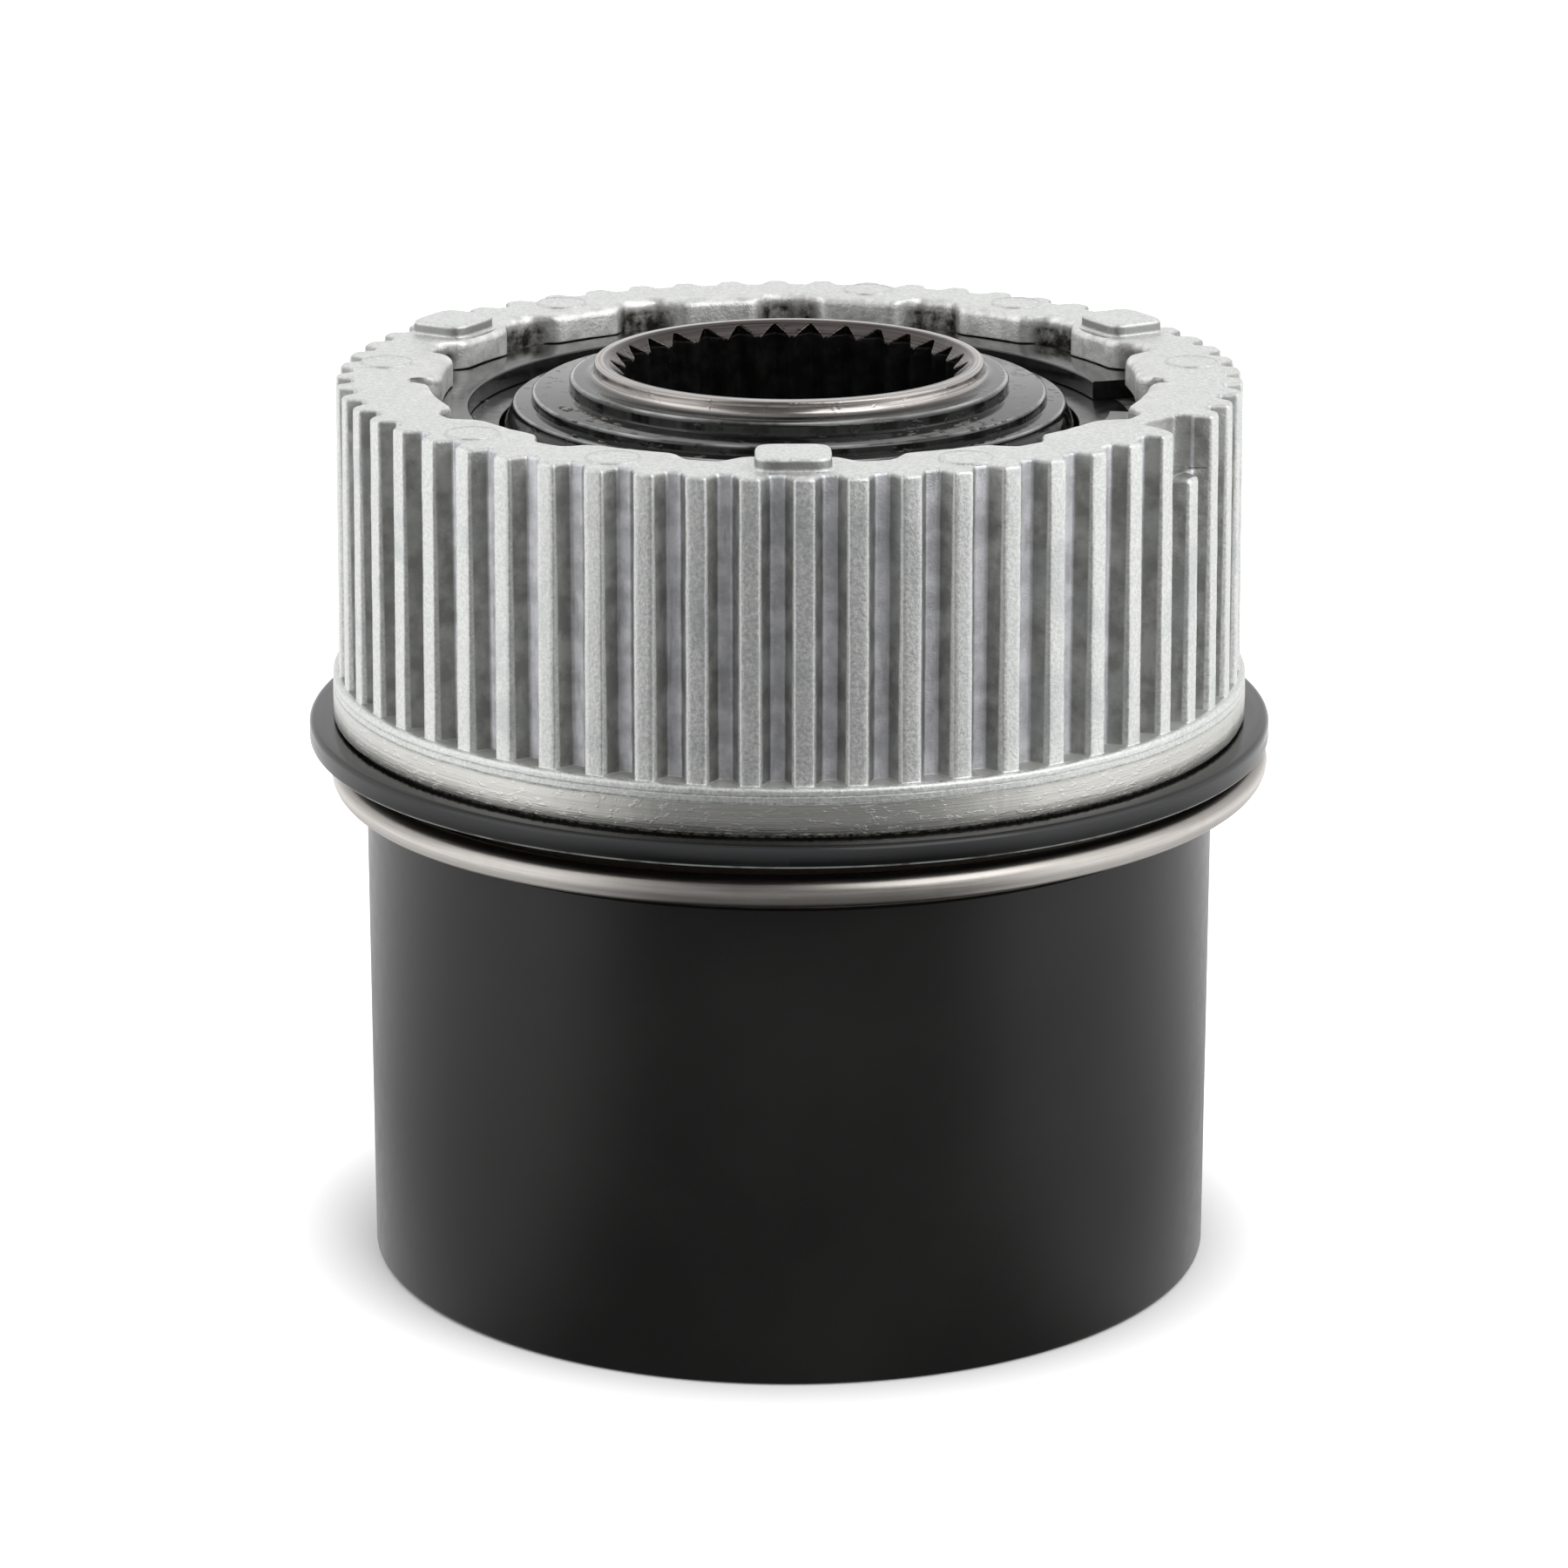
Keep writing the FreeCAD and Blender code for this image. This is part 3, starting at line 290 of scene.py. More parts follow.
    def finish(self, color, metallic, roughness, normal=None, **others):
        self.put(self.shader.inputs["Base Color"], color if isinstance(color, bpy.types.NodeSocket) else (*color, 1))
        self.put(self.shader.inputs["Metallic"], metallic)
        self.put(self.shader.inputs["Roughness"], roughness)
        if normal is not None:
            self.put(self.shader.inputs["Normal"], normal)
        for name, value in others.items():
            self.put(self.shader.inputs[name.replace("_", " ")], value)
        return self.material


def die_cast_material():
    """Pale speckled casting, darker and mottled in the grooves, with a turned band near its lower end."""
    m = Material("die_cast")
    fine = m.noise(3.2, 4.0, 0.65)
    grain = m.noise(9.0, 2.0, 0.6)
    mottle = m.noise(0.42, 4.0, 0.6)
    streaks = m.noise(1.0, 3.0, 0.6, m.stretched(0.9, 0.9, 0.16))
    light = m.mix(m.spread(fine, 0.38, 0.62), (0.63, 0.642, 0.63), (0.82, 0.83, 0.818))
    light = m.mix(m.spread(grain, 0.66, 0.72), light, (0.86, 0.87, 0.86))
    walls_tone = m.mix(m.spread(mottle, 0.4, 0.62), (0.27, 0.27, 0.26), (0.48, 0.48, 0.465))
    floor_tone = m.mix(m.spread(mottle, 0.38, 0.6), (0.55, 0.552, 0.575), (0.80, 0.80, 0.84))
    dark = m.mix(m.window(m.radius, 40.25, 40.55, 0.05), walls_tone, floor_tone)
    dark = m.mix(m.spread(streaks, 0.55, 0.7, 0.0, 0.5), dark, (0.25, 0.26, 0.255))
    in_groove = m.spread(m.radius, 41.85, 41.7)
    on_spline = m.window(m.z, SPLINE_BOTTOM + 0.1, FACE_Z - 0.15, 0.1)
    outside = m.spread(m.radius, 37.5, 37.9)
    groove = m.maths("MULTIPLY", m.maths("MULTIPLY", in_groove, on_spline), outside)
    cast = m.mix(m.maths("MULTIPLY", groove, 0.9), light, dark)
    stain = m.spread(m.noise(0.16, 3.0, 0.5), 0.56, 0.66, 0.0, 0.35)
    cast = m.mix(m.maths("MULTIPLY", stain, on_spline), cast, (0.46, 0.50, 0.50))
    inside = m.spread(m.radius, 36.4, 36.0)
    # Painted light: the inner walls of the lands get a brighter mottled tone, as if lit from the front.
    lit_land_walls = m.maths("MULTIPLY", inside, m.window(m.z, 82.0, 84.75, 0.1))
    cast = m.mix(lit_land_walls, cast, m.mix(m.spread(m.noise(0.7, 3.0, 0.6), 0.35, 0.65), (0.62, 0.62, 0.6), (0.9, 0.9, 0.89)))
    # Painted shade: near black in the notches and on the inner surfaces below the face, made patchy by noise.
    in_notch = m.maths("MULTIPLY", m.spread(m.radius, 33.9, 34.9), m.spread(m.z, 84.3, 83.4))
    below = m.spread(m.z, 82.3, 81.9)
    notch_shade_noise = m.spread(m.noise(0.75, 4.0, 0.6), 0.34, 0.58, 0.45, 1.0)
    notch_shade = m.maths("MULTIPLY", m.maths("MULTIPLY", m.maths("MAXIMUM", in_notch, below), inside), notch_shade_noise)
    cast = m.mix(notch_shade, cast, (0.045, 0.04, 0.03))

    # Painted shade: the tabs' side walls are darker than their tops.
    tab_wall_shade = m.window(m.z, FACE_Z + 0.22, FACE_Z + 0.95, 0.12)
    cast = m.mix(m.maths("MULTIPLY", tab_wall_shade, 0.8), cast, (0.2, 0.2, 0.195))

    turning = m.noise(1.0, 2.0, 0.7, m.ring_place(1.2, 9.0, 9.0))
    pits = m.spread(m.noise(2.2, 3.0, 0.6, m.stretched(0.5, 0.5, 1.0)), 0.56, 0.64)
    band = m.mix(m.spread(turning, 0.35, 0.65), (0.56, 0.555, 0.525), (0.70, 0.695, 0.665))
    band = m.mix(m.maths("MULTIPLY", pits, 0.5), band, (0.84, 0.83, 0.8))
    oil_edge = m.maths("ADD", m.z, m.maths("MULTIPLY", m.noise(1.6, 4.0, 0.65), 0.9))
    oil = m.spread(oil_edge, BAND_BOTTOM + 0.66, BAND_BOTTOM + 0.54)
    band = m.mix(oil, band, m.mix(m.spread(m.noise(2.0, 3.0, 0.6), 0.42, 0.58), (0.03, 0.027, 0.022), (0.24, 0.225, 0.2)))
    shadowed = m.spread(m.z, SEAL_GROOVE_BOTTOM + 0.2, SEAL_GROOVE_BOTTOM)
    band = m.mix(shadowed, band, (0.045, 0.033, 0.024))
    shelf = m.maths("MULTIPLY", m.window(m.z, SPLINE_BOTTOM - 0.05, SPLINE_BOTTOM + 0.1, 0.03),
                    m.spread(m.radius, 42.25, 42.15))
    cast = m.mix(shelf, cast, (0.36, 0.36, 0.35))
    on_band = m.spread(m.z, BAND_TOP - 0.02, BAND_TOP - 0.06)
    color = m.mix(on_band, cast, band)

    relief = m.bump(fine, 0.06, None, 0.8)
    relief = m.bump(grain, 0.02, relief, 0.8)
    lines = m.bump(pits, 0.02, m.bump(turning, 0.02), 0.7)
    blend = m.tree.nodes.new("ShaderNodeMix")
    blend.data_type = "VECTOR"
    m.put(blend.inputs["Factor"], on_band)
    m.put(blend.inputs["A"], relief)
    m.put(blend.inputs["B"], lines)
    rough = m.spread(fine, 0.3, 0.7, 0.42, 0.56)
    rough_all = m.maths("ADD", m.maths("MULTIPLY", rough, m.maths("SUBTRACT", 1.0, on_band)),
                        m.maths("MULTIPLY", 0.34, on_band))
    dirty = m.maths("MULTIPLY", oil, on_band)
    metal = m.maths("SUBTRACT", 1.0, m.maths("MAXIMUM", m.maths("MULTIPLY", shelf, 0.8), dirty))
    return m.finish(color, metal, rough_all, blend.outputs["Result"])


def cap_material():
    """Satin black with tiny pale specks and faint turning lines."""
    m = Material("cap_black")
    specks = m.spread(m.cells(1.1), 0.035, 0.02)
    cloud = m.noise(0.05, 3.0, 0.5)
    color = m.mix(m.spread(cloud, 0.35, 0.65), (0.0075, 0.0078, 0.0072), (0.011, 0.0112, 0.0105))
    color = m.mix(m.maths("MULTIPLY", specks, 0.35), color, (0.09, 0.1, 0.11))
    turning = m.noise(1.0, 2.0, 0.7, m.ring_place(3.0, 14.0, 14.0))
    relief = m.bump(turning, 0.0015)
    rough = m.spread(m.noise(0.6, 3.0, 0.6), 0.3, 0.7, 0.22, 0.27)
    return m.finish(color, 0.0, rough, relief, Specular_IOR_Level=0.3)


def seal_material():
    m = Material("seal_rubber")
    smears = m.noise(1.0, 3.0, 0.6, m.ring_place(3.0, 1.5, 1.5))
    color = m.mix(m.spread(smears, 0.45, 0.7), (0.003, 0.003, 0.003), (0.008, 0.008, 0.008))
    # Painted sheen: the outer face is lighter towards its top.
    top_sheen = m.maths("MULTIPLY", m.spread(m.z, 51.1, 52.3), m.spread(m.radius, 44.85, 45.05))
    color = m.mix(m.maths("MULTIPLY", top_sheen, 0.8), color, (0.04, 0.041, 0.043))
    # Painted highlight: a thin pale line along the lower outer edge, broken up by noise.
    lower_edge_highlight = m.maths("MULTIPLY", m.spread(m.z, 50.86, 50.78), m.spread(m.radius, 44.9, 44.97))
    highlight_patchiness = m.spread(m.noise(0.3, 3.0, 0.6), 0.36, 0.52, 0.2, 0.8)
    color = m.mix(m.maths("MULTIPLY", lower_edge_highlight, highlight_patchiness), color, (0.22, 0.24, 0.23))
    rough = m.spread(smears, 0.35, 0.7, 0.12, 0.26)
    return m.finish(color, 0.0, rough, m.bump(smears, 0.003), Specular_IOR_Level=0.26)


def wire_material():
    """Drawn steel wire with a warm tint and fine lines along it."""
    m = Material("wire_steel")
    lines = m.noise(1.0, 2.0, 0.6, m.ring_place(4.0, 7.0, 7.0))
    color = m.mix(m.spread(lines, 0.35, 0.65), (0.54, 0.51, 0.48), (0.64, 0.61, 0.58))
    stain = m.spread(m.noise(0.5, 3.0, 0.6), 0.5, 0.68)
    color = m.mix(m.maths("MULTIPLY", stain, 0.15), color, (0.42, 0.37, 0.33))
    # Painted shade: the upper part of the wire, under the seal, is darker.
    lean = m.maths("MULTIPLY", m.x, -0.0127)
    above = m.maths("ADD", m.z, lean)
    shade = m.spread(above, 48.0, 49.1)
    color = m.mix(m.maths("MULTIPLY", shade, 0.8), color, (0.11, 0.096, 0.085))
    return m.finish(color, 1.0, m.spread(lines, 0.3, 0.7, 0.28, 0.36), m.bump(lines, 0.002))


def black_steel_material(name, pale=0.02, rough_low=0.16, rough_high=0.34):
    """Black oxide with an oil film."""
    m = Material(name)
    film = m.noise(0.55, 4.0, 0.6)
    turning = m.noise(1.0, 2.0, 0.7, m.ring_place(1.4, 8.0, 8.0))
    color = m.mix(m.spread(film, 0.4, 0.65), (pale * 0.5, pale * 0.48, pale * 0.46), (pale, pale, pale))
    relief = m.bump(turning, 0.001)
    relief = m.bump(m.spread(m.noise(0.8, 3.0, 0.5), 0.6, 0.66), 0.02, relief, 0.4)
    rough = m.spread(film, 0.35, 0.65, rough_low, rough_high)
    return m.finish(color, 0.0, rough, relief, Specular_IOR_Level=0.6)


def drive_gear_material():
    """Black oxide steps under a brownish ground neck and chamfer with turning lines."""
    m = Material("drive_gear_steel")
    film = m.noise(0.55, 4.0, 0.6)
    turning = m.noise(1.0, 3.0, 0.7, m.ring_place(0.9, 7.0, 7.0))
    black = m.mix(m.spread(film, 0.4, 0.65), (0.004, 0.004, 0.0038), (0.01, 0.01, 0.01))
    ground = m.mix(m.spread(turning, 0.38, 0.62), (0.26, 0.235, 0.22), (0.52, 0.49, 0.47))
    neck = m.maths("MULTIPLY", m.spread(m.z, 84.75, 85.0), m.spread(m.radius, 15.2, 15.5))
    inner = m.spread(m.radius, 17.35, 17.1)
    cone = m.mix(m.spread(turning, 0.4, 0.6), (0.02, 0.016, 0.015), (0.075, 0.062, 0.058))
    ground = m.mix(m.maths("MULTIPLY", inner, 0.92), ground, cone)
    color = m.mix(neck, black, ground)
    # Painted highlights: thin pale metal lines on the edges of the steps, made patchy by noise.
    edge_highlights = m.maths("ADD", m.window(m.radius, 23.6, 23.84, 0.06), m.window(m.radius, 25.42, 25.64, 0.06))
    edge_highlights = m.maths("ADD", edge_highlights, m.window(m.radius, 20.0, 20.3, 0.06))
    edge_highlights = m.maths("MULTIPLY", edge_highlights, m.spread(m.noise(0.12, 4.0, 0.6), 0.36, 0.6))
    color = m.mix(m.maths("MULTIPLY", edge_highlights, 0.8), color, (0.5, 0.52, 0.52))
    relief = m.bump(turning, 0.0012)
    grease = m.spread(m.noise(0.8, 3.0, 0.5), 0.6, 0.66)
    relief = m.bump(grease, 0.03, relief, 0.5)
    in_bore = m.maths("MULTIPLY", m.spread(m.radius, 16.9, 16.8), m.spread(m.z, 85.6, 85.3))
    wet = m.noise(1.0, 2.0, 0.5, m.stretched(1.2, 1.2, 0.3))
    relief = m.bump(wet, 0.25, relief, m.maths("MULTIPLY", in_bore, 0.7))
    rough = m.maths("ADD", m.spread(film, 0.35, 0.65, 0.06, 0.13), m.maths("MULTIPLY", neck, 0.12))
    metal = m.maths("MAXIMUM", neck, m.maths("MULTIPLY", edge_highlights, 0.9))
    return m.finish(color, metal, rough, relief, Specular_IOR_Level=0.55)


def plain_metal(name, color, metallic=1.0, roughness=0.35):
    """A simple worked metal for the pieces inside."""
    m = Material(name)
    marks = m.noise(1.0, 2.0, 0.6, m.ring_place(2.0, 6.0, 6.0))
    darker = tuple(value * 0.8 for value in color)
    shade = m.mix(m.spread(marks, 0.35, 0.65), darker, color)
    return m.finish(shade, metallic, m.spread(marks, 0.3, 0.7, roughness - 0.06, roughness + 0.08), m.bump(marks, 0.01))


MATERIALS = {
    "die_cast": die_cast_material(),
    "cap_black": cap_material(),
    "seal_rubber": seal_material(),
    "wire_steel": wire_material(),
    "black_steel": black_steel_material("black_steel", 0.012, 0.1, 0.2),
    "plate_black": black_steel_material("plate_black", 0.014, 0.14, 0.24),
    "drive_gear_steel": drive_gear_material(),
    "bearing_steel": plain_metal("bearing_steel", (0.62, 0.62, 0.63), 1.0, 0.25),
    "cage_plastic": plain_metal("cage_plastic", (0.42, 0.33, 0.2), 0.0, 0.5),
    "washer_bronze": plain_metal("washer_bronze", (0.62, 0.42, 0.2), 1.0, 0.35),
    "clutch_steel": plain_metal("clutch_steel", (0.36, 0.36, 0.37), 1.0, 0.4),
    "piston_aluminium": plain_metal("piston_aluminium", (0.68, 0.69, 0.7), 1.0, 0.35),
    "spring_steel": plain_metal("spring_steel", (0.4, 0.4, 0.41), 1.0, 0.3),
    "diaphragm_rubber": plain_metal("diaphragm_rubber", (0.03, 0.03, 0.032), 0.0, 0.55),
}


def dress_cad_nodes():
    """Each CAD node takes the finish of its material slot."""
    slots = {row["node"]: row["material_slot"] for row in frame["record"]["subparts"]}
    for name, node in frame["nodes"].items():
        node.data.materials.clear()
        node.data.materials.append(MATERIALS[slots[name]])


def column_angles():
    """Angles of the body's columns: close at the corners of the splines and of the inner clutch teeth."""
    shares = [-0.5, -0.43, -0.375, -0.355, -0.335, -0.30, -0.23, -0.195, -0.176, -0.155, -0.08]
    shares = shares + [-share for share in reversed(shares[1:])]
    pitch = 2 * math.pi / SPLINE_COUNT
    angles = [SPLINE_PHASE + pitch * (k + share) for k in range(SPLINE_COUNT) for share in shares]
    clutch_edges = [math.radians(10 * k) + side / 33 for k in range(36) for side in (-1.74, -1.62, 1.62, 1.74)]
    return np.unique(np.array(angles + clutch_edges) % (2 * math.pi))


def spline_radius(angles, height, inset):
    """Radius of the splined outside at a height, drawn in by inset to round its edges."""
    share = (height - SPLINE_BOTTOM) / (FACE_Z - SPLINE_BOTTOM)
    tip = SPLINE_BOTTOM_RADIUS + (SPLINE_TOP_RADIUS - SPLINE_BOTTOM_RADIUS) * share
    reach = (tip + SPLINE_ROOT_RADIUS) / 2
    across = np.abs(wrapped(angles, SPLINE_PHASE, 2 * math.pi / SPLINE_COUNT)) * reach
    drop = ramp((across - LAND_HALF + 0.6 * inset) / FLANK_WIDTH, 0.06)
    return tip - inset - (tip - SPLINE_ROOT_RADIUS) * drop


def pocket_radius(angles):
    """Radius of the pocket over the short spline, far outside elsewhere."""
    across = wrapped(angles, POCKET_ANGLE, 2 * math.pi) * SPLINE_ROOT_RADIUS
    floor = POCKET_FLOOR_RADIUS + 0.22 * np.clip(across, -POCKET_HALF, POCKET_HALF)
    return floor + 6 * ramp((np.abs(across) - POCKET_HALF) / 1.0, 0.12)


def land_radius(angles, inset):
    """Radius of the inner edge: lands, two key lands, notches and two slits."""
    pitch = 2 * math.pi / 15
    across = np.abs(wrapped(angles, pitch / 2, pitch)) * LAND_RADIUS
    slit = np.minimum(np.abs(wrapped(angles, math.radians(84), 2 * math.pi)),
                      np.abs(wrapped(angles, math.radians(-84), 2 * math.pi))) < pitch / 2
    notch = 1 - ramp((across - 1.8 + 0.5 * inset) / 1.6, 0.14)
    narrow = 1 - ramp((across - 1.05 + 0.5 * inset) / 0.45, 0.14)
    key = np.minimum(np.abs(wrapped(angles, math.radians(96), 2 * math.pi)),
                     np.abs(wrapped(angles, math.radians(-96), 2 * math.pi))) * LAND_RADIUS
    land = LAND_RADIUS - (LAND_RADIUS - KEY_LAND_RADIUS) * (1 - ramp((key - 4.6) / 1.2, 0.14))
    floor = np.where(slit, NOTCH_FLOOR_RADIUS - 0.6, NOTCH_FLOOR_RADIUS)
    return land + inset + (floor - land) * np.where(slit, narrow, notch)


def clutch_tooth_radius(angles):
    """Radius of the body's inner clutch teeth."""
    across = np.abs(wrapped(angles, 0, math.radians(10))) * 33
    return 33.9 - 1.9 * ramp((across - 1.65) / 0.1, 0.2)


def make_hub_body():
    a = column_angles()
    edge = 0.42
    inner_edge = 0.8
    pocket = pocket_radius(a)
    in_pocket = (pocket < SPLINE_TOP_RADIUS).astype(float)
    land_in = land_radius(a, 0)
    groove = np.maximum(land_in, SNAP_GROOVE_RADIUS)
    rows = []
    for k in range(5):
        turn = math.radians(90 * k / 4)
        inset = inner_edge * (1 - math.cos(turn))
        rows.append((land_radius(a, inset), FACE_Z - inner_edge * (1 - math.sin(turn))))
    rows.append((np.maximum(36.6, land_radius(a, inner_edge) + 0.25), FACE_Z))
    rows.append((np.minimum(37.9, pocket - edge - 0.1), FACE_Z))
    for k in range(5):
        turn = math.radians(90 * k / 4)
        inset = edge * (1 - math.sin(turn))
        height = FACE_Z - edge * (1 - math.cos(turn))
        rows.append((np.minimum(spline_radius(a, FACE_Z, inset), pocket - inset), height))
    rows.append((np.minimum(spline_radius(a, POCKET_BOTTOM, 0), pocket), POCKET_BOTTOM + 0.5))
    rows.append((np.minimum(spline_radius(a, POCKET_BOTTOM, 0), pocket + 0.1), POCKET_BOTTOM + 0.12))
    for inset, height in ((0.4, 0.0), (0.18, -0.12), (0.05, -0.3), (0.0, -0.55)):
        rows.append((spline_radius(a, POCKET_BOTTOM, inset * in_pocket), POCKET_BOTTOM + height))
    for height in np.arange(77.0, 58.5, -2.5):
        rows.append((spline_radius(a, height, 0), height))
    fillet = 0.16
    for k in range(4):
        turn = math.radians(90 * k / 4)
        height = SPLINE_BOTTOM + fillet * (1 - math.sin(turn))
        rows.append((spline_radius(a, SPLINE_BOTTOM, 0) + fillet * (1 - math.cos(turn)) * 0.9, height))
    rows.append((np.maximum(spline_radius(a, SPLINE_BOTTOM, -0.06), BEAD_RADIUS - 0.5), SPLINE_BOTTOM))
    rows += corner(BEAD_RADIUS - 0.34, SPLINE_BOTTOM - 0.36, 0.34, 75, 0, 3)
    rows += [(BEAD_RADIUS, SPLINE_BOTTOM - 0.62), (BEAD_RADIUS - 0.14, SPLINE_BOTTOM - 0.72)]
    rows += [(BEAD_RADIUS, SPLINE_BOTTOM - 0.84), (BEAD_RADIUS, BAND_TOP + 0.14), (BEAD_RADIUS - 0.16, BAND_TOP + 0.03)]
    rows += [(BAND_RADIUS, BAND_TOP - 0.08), (BAND_RADIUS, (BAND_TOP + BAND_BOTTOM) / 2)]
    rows += corner(BAND_RADIUS - 0.2, BAND_BOTTOM + 0.2, 0.2, 0, -90, 3)
    rows += [(42.15, BAND_BOTTOM), (42.15, SEAL_GROOVE_BOTTOM), (42.35, SEAL_GROOVE_BOTTOM)]
    rows += [(42.35, WIRE_GROOVE_TOP), (WIRE_GROOVE_RADIUS, WIRE_GROOVE_TOP)]
    rows += [(WIRE_GROOVE_RADIUS, LIP_TOP), (41.0, LIP_TOP)]
    rows += [(41.0, LIP_TOP - 0.1), (CAP_RADIUS, CAP_HEIGHT), (CAP_BORE - 0.05, CAP_HEIGHT)]
    rows += [(38.05, 33.8), (36.6, 33.8), (36.6, 32.2), (38.05, 32.2)]
    rows += [(38.05, 20.0), (34.5, 20.0), (34.5, 55.1), (clutch_tooth_radius(a), 57.5)]
    rows += [(clutch_tooth_radius(a), 68.5), (30.0, 68.55), (30.0, BEARING_BOTTOM), (32.05, BEARING_BOTTOM)]
    rows += [(32.05, PLATE_TOP), (groove, PLATE_TOP), (groove, SNAP_GROOVE_TOP), (land_in, SNAP_GROOVE_TOP + 0.02)]
    return loft("hub_body_shell", a, rows, "hub", MATERIALS["die_cast"], replaces="hub_body",
                wobble=0.025)


def make_face_tabs():
    """Three raised tabs with rounded corners, run into the face by a small fillet."""
    half_width = 6.7 / 2
    half_length = 5.9 / 2
    middle = 34.0 + half_length
    levels = [(0.3, -0.3), (0.3, 0.0), (0.08, 0.08), (0.0, 0.3), (0.0, 0.9), (-0.06, 1.08), (-0.18, 1.2), (-0.36, TAB_HEIGHT)]
    for index in range(3):
        turn = 2 * math.pi * index / 3 + math.radians(0.5)
        vertices = []
        faces = []
        count = 48
        for grow, height in levels:
            for k in range(count):
                a = 2 * math.pi * k / count
                bend = max(abs(math.cos(a)) ** 5 + abs(math.sin(a)) ** 5, 1e-9) ** (-1 / 5)
                out = middle + (half_length + grow) * bend * math.cos(a)
                side = (half_width + grow) * bend * math.sin(a)
                x = out * math.sin(turn) + side * math.cos(turn)
                y = -out * math.cos(turn) + side * math.sin(turn)
                vertices.append((x * MM, y * MM, (FACE_Z + height) * MM))
        for level in range(len(levels) - 1):
            for k in range(count):
                n = (k + 1) % count
                base = level * count
                faces.append((base + k, base + n, base + count + n, base + count + k))
        top = (len(levels) - 1) * count
        faces.append(tuple(top + k for k in range(count)))
        faces.append(tuple(reversed(range(count))))
        new_object("face_tab_%d" % (index + 1), vertices, faces, "hub", MATERIALS["die_cast"])


def make_ejector_marks():
    """Faint round marks on the face, left by the mould's ejector pins."""
    angles = np.linspace(0, 2 * math.pi, 48, endpoint=False)
    for index, degrees in enumerate((24, 96, 144, 168, 216, 264, 312, 336)):
        turn = math.radians(degrees)
        centre = 37.8
        vertices = []
        for radius, height in ((2.48, -0.1), (2.46, 0.1), (2.4, 0.16), (2.26, 0.16), (2.15, 0.08)):
            for a in angles:
                x = centre * math.sin(turn) + radius * math.cos(a)
                y = -centre * math.cos(turn) + radius * math.sin(a)
                vertices.append((x * MM, y * MM, (FACE_Z + height) * MM))
        faces = []
        count = len(angles)
        for level in range(4):
            for k in range(count):
                n = (k + 1) % count
                faces.append((level * count + k, level * count + n, (level + 1) * count + n, (level + 1) * count + k))
        faces.append(tuple(4 * count + k for k in range(count)))
        faces.append(tuple(reversed(range(count))))
        new_object("ejector_mark_%d" % (index + 1), vertices, faces, "hub", MATERIALS["die_cast"])


def circle(count=384):
    return np.linspace(0, 2 * math.pi, count, endpoint=False)


def make_cap():
    rows = [(0, 0.0), (20.0, 0.0)]
    rows += corner(CAP_RADIUS - 0.55, 0.55, 0.55, -90, 0, 5)
    rows += [(CAP_RADIUS + 0.03, 20.0), (CAP_RADIUS + 0.05, CAP_HEIGHT - 0.3), (CAP_RADIUS - 0.2, CAP_HEIGHT)]
    rows += [(CAP_BORE, CAP_HEIGHT), (CAP_BORE, CAP_LEDGE_Z), (CAP_LOW_BORE, CAP_LEDGE_Z)]
    rows += corner(CAP_LOW_BORE - 2.5, CAP_FLOOR + 2.5, 2.5, 0, -90, 4)
    rows += [(0, CAP_FLOOR)]
    return loft("cap_shell", circle(), rows, "hub", MATERIALS["cap_black"], closed=False, replaces="cap")


def make_seal():
    """The seal: a ring of rounded square section."""
    inner = 42.2
    outer = 45.14
    middle = (SEAL_GROOVE_BOTTOM + BAND_BOTTOM) / 2
    top = middle + 1.05
    bottom = middle - 1.05
    rows = corner(outer - 0.3, bottom + 0.3, 0.3, -90, -10, 5)
    rows += corner(outer - 0.6, top - 0.6, 0.6, 5, 82, 8)
    rows += [(inner + 0.5, top - 0.02)]
    rows += corner(inner + 0.3, top - 0.32, 0.3, 90, 180, 4)
    rows += corner(inner + 0.3, bottom + 0.3, 0.3, 180, 270, 4)
    return loft("seal_ring", circle(), rows, "hub", MATERIALS["seal_rubber"], replaces="outer_seal_ring")


def make_wire_ring():
    """The round wire ring, shifted and leaning in its groove, open at the back."""
    radius = 1.45
    middle = 44.1 - radius
    gap = 3.0 / middle / 2
    angles = np.linspace(-math.pi + gap, math.pi - gap, 384)
    rows = []
    for k in range(24):
        a = 2 * math.pi * k / 24
        rows.append((middle + radius * math.cos(a), radius * math.sin(a)))
    ring = loft("wire_ring", angles, rows, "hub", MATERIALS["wire_steel"], full=False,
                replaces="retaining_wire_ring")
    lean = math.tan(math.radians(0.73))
    for vertex in ring.data.vertices:
        vertex.co.z += (LIP_TOP + WIRE_GROOVE_TOP) / 2 * MM + lean * vertex.co.x
        vertex.co.x += 0.95 * MM
    return ring


def make_snap_ring():
    """The flat internal ring with a square-cut end at the right."""
    start = math.radians(106)
    end = math.radians(82 + 360)
    bottom = PLATE_TOP + 0.05
    top = bottom + 1.75
    rows = corner(29.95, top - 0.15, 0.15, 180, 90, 3)
    rows += [(34.4, top), (34.5, top - 0.1), (34.5, bottom), (29.9, bottom), (29.8, bottom + 0.1)]
    return loft("snap_ring", np.linspace(start, end, 300), rows, "hub", MATERIALS["black_steel"], full=False,
                replaces="bearing_snap_ring")


def make_plate():
    rows = [(26.9, BEARING_TOP), (32.0, BEARING_TOP), (32.0, PLATE_TOP)]
    rows += corner(27.05, PLATE_TOP - 0.15, 0.15, 90, 180, 3)
    return loft("bearing_plate_ring", circle(), rows, "hub", MATERIALS["plate_black"],
                replaces="bearing_plate")


